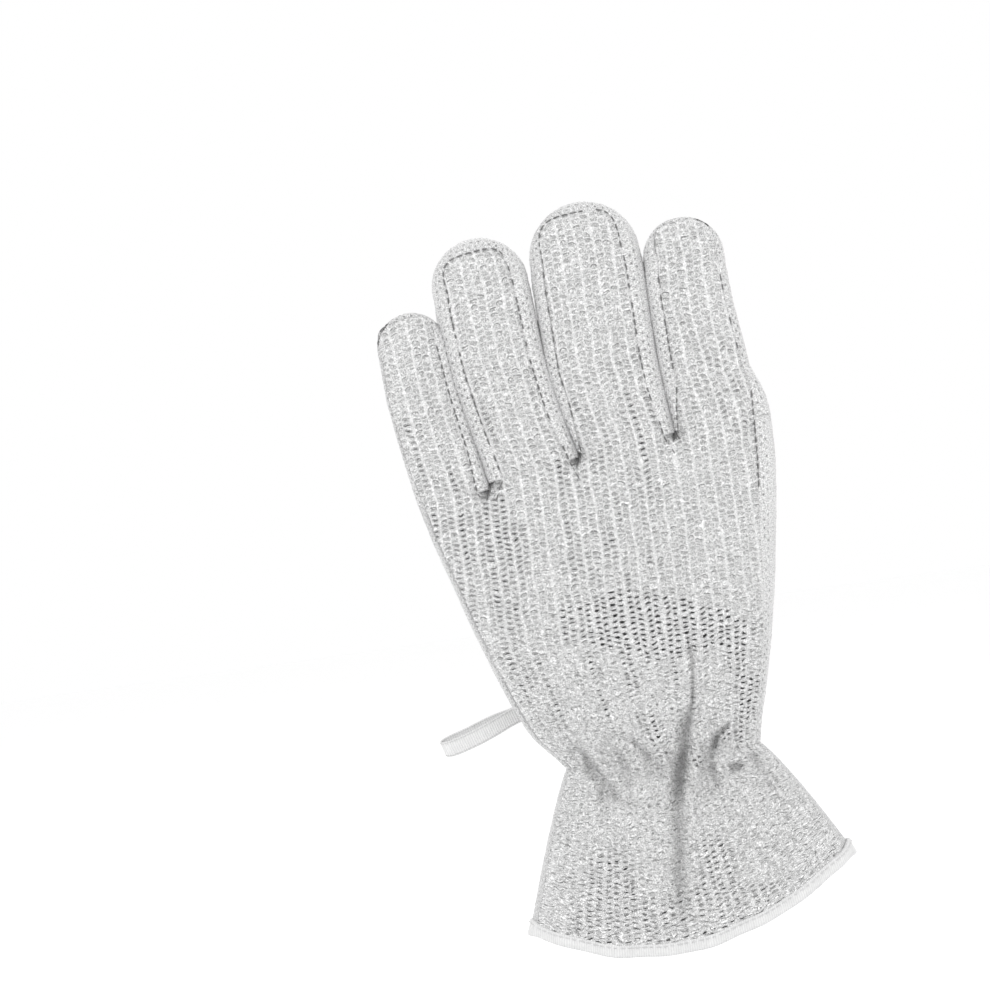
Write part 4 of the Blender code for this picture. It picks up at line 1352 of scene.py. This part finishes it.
def thumb_pieces():
    tube = THUMB_TUBE
    joint = 0.5 * tube.length
    low = joint - BEND_RUN / 2
    foot = -(tube.start_wide - tube.tip_strip)
    bend = ("thumb_base", "thumb_tip", *(tuple(tube.place(0.0, 0.0, s) * MM) for s in (low, joint + BEND_RUN / 2)))
    for title, start, end, ride in (("thumb_base", foot, low, ("thumb_base",)), ("thumb_tip", low, None, bend)):
        for part, side, slot_name in (("outer", 1, "knit_back"), ("inner", -1, "knit_palm")):
            panel = panel_grid(tube, side, start, end)
            knit(f"{title}_{part}_knit", [panel], HAND_PLAIN, slot_name, [f"{title}_{part}"], *ride)
        strip = end_grid(tube, low, end is None)
        knit(f"{title}_strip_knit", strip, STRIP_KNIT, "knit_strip", [f"{title}_strip"], *ride)
    settle(thumb_neck(), "knit_strip", [], "thumb_base")
    settle(segment_stitches("thumb_tip_seam_stitches", tube, low, None), "thread", [], *bend)


CUFF_BEND = ("hand", "cuff", (0.0, 0.0, 0.0), (0.0, 0.0, -0.016))
PANELS = (("back", -1, HAND_RIB), ("palm", 1, HAND_PLAIN))

for finger_name in FINGERS:
    finger_pieces(finger_name)
thumb_pieces()

for panel_name, panel_side, panel_look in PANELS:
    knit(f"hand_{panel_name}_knit", [hand_panel_grid(panel_side)], panel_look,
         f"knit_{panel_name}", [f"hand_{panel_name}"], "hand")
knit("hand_strip_knit", [hand_side_grid(0), hand_side_grid(1)], STRIP_KNIT,
     "knit_strip", ["hand_strip_outer", "hand_strip_inner"], "hand")
settle(hand_stitches(), "thread", [], "hand")
settle(wrist_elastic(), "elastic", ["wrist_elastic"], "hand")
settle(loop_tack(), "thread", ["loop_tack"], "hand")

for panel_name, panel_side, panel_look in PANELS:
    knit(f"cuff_{panel_name}_knit", [cuff_panel_grid(panel_side)], panel_look,
         f"knit_{panel_name}", [f"cuff_{panel_name}"], *CUFF_BEND)
knit("cuff_side_knit", [cuff_side_grid(0), cuff_side_grid(1)], STRIP_KNIT, "knit_strip", [], *CUFF_BEND)
hem_band, hem_thread = hem_tape()
settle(hem_band, "hem_tape", ["hem_tape"], "cuff")
settle(hem_thread, "thread", [], "cuff")
loop_ribbon, loop_thread = hanging_loop()
settle(loop_ribbon, "ribbon", ["hanging_loop"], "loop")
settle(loop_thread, "thread", [], "loop")


# ---------------------------------------------------------------- stage

WORLD_LIGHT = 1.0
FLOOR_SIZE, FLOOR_HEIGHT = 6.0, -0.10
LIGHT_SIZE = 0.9
LIGHT_AIM = Vector((0.0, 0.0, 0.06))
LIGHTS = (("key", (-0.7, -0.9, 0.9), 5.0), ("fill", (0.9, -0.7, 0.3), 2.0), ("rim", (0.1, 0.9, 0.7), 2.0))


def studio():
    scene = bpy.context.scene
    scene.view_settings.view_transform = "Standard"
    world = bpy.data.worlds.new("studio")
    scene.world = world
    world.use_nodes = True
    background = world.node_tree.nodes["Background"]
    background.inputs["Color"].default_value = (1.0, 1.0, 1.0, 1.0)
    background.inputs["Strength"].default_value = WORLD_LIGHT
    bpy.ops.mesh.primitive_plane_add(size=FLOOR_SIZE, location=(0.0, 0.0, FLOOR_HEIGHT))
    floor = bpy.context.object
    floor.name = "floor"
    paint = Graph("pale_floor")
    paint.set(Base_Color=paint.blend(object_noise(paint, 40.0), 0.985, 0.995), Roughness=0.9)
    floor.data.materials.append(paint.material)
    for name, place, power in LIGHTS:
        area_light(name, place, power)


def area_light(name, place, power):
    data = bpy.data.lights.new(name, "AREA")
    data.energy = power
    data.size = LIGHT_SIZE
    lamp = bpy.data.objects.new(name, data)
    lamp.location = place
    lamp.rotation_euler = (LIGHT_AIM - Vector(place)).to_track_quat("-Z", "Y").to_euler()
    bpy.context.collection.objects.link(lamp)


CAMERA_AIM = (-0.0456, 0.0, 0.0983)
CAMERA_SPAN = 0.3465
CAMERA_LENS = 100.0
CAMERA_ROLL = 8.0


def camera():
    data = bpy.data.cameras.new("camera")
    data.lens = CAMERA_LENS
    data.sensor_width = 36.0
    distance = CAMERA_SPAN * CAMERA_LENS / data.sensor_width
    eye = bpy.data.objects.new("camera", data)
    eye.location = (CAMERA_AIM[0], CAMERA_AIM[1] - distance, CAMERA_AIM[2])
    eye.rotation_euler = (math.pi / 2, math.radians(CAMERA_ROLL), 0.0)
    bpy.context.collection.objects.link(eye)
    bpy.context.scene.camera = eye


studio()
camera()
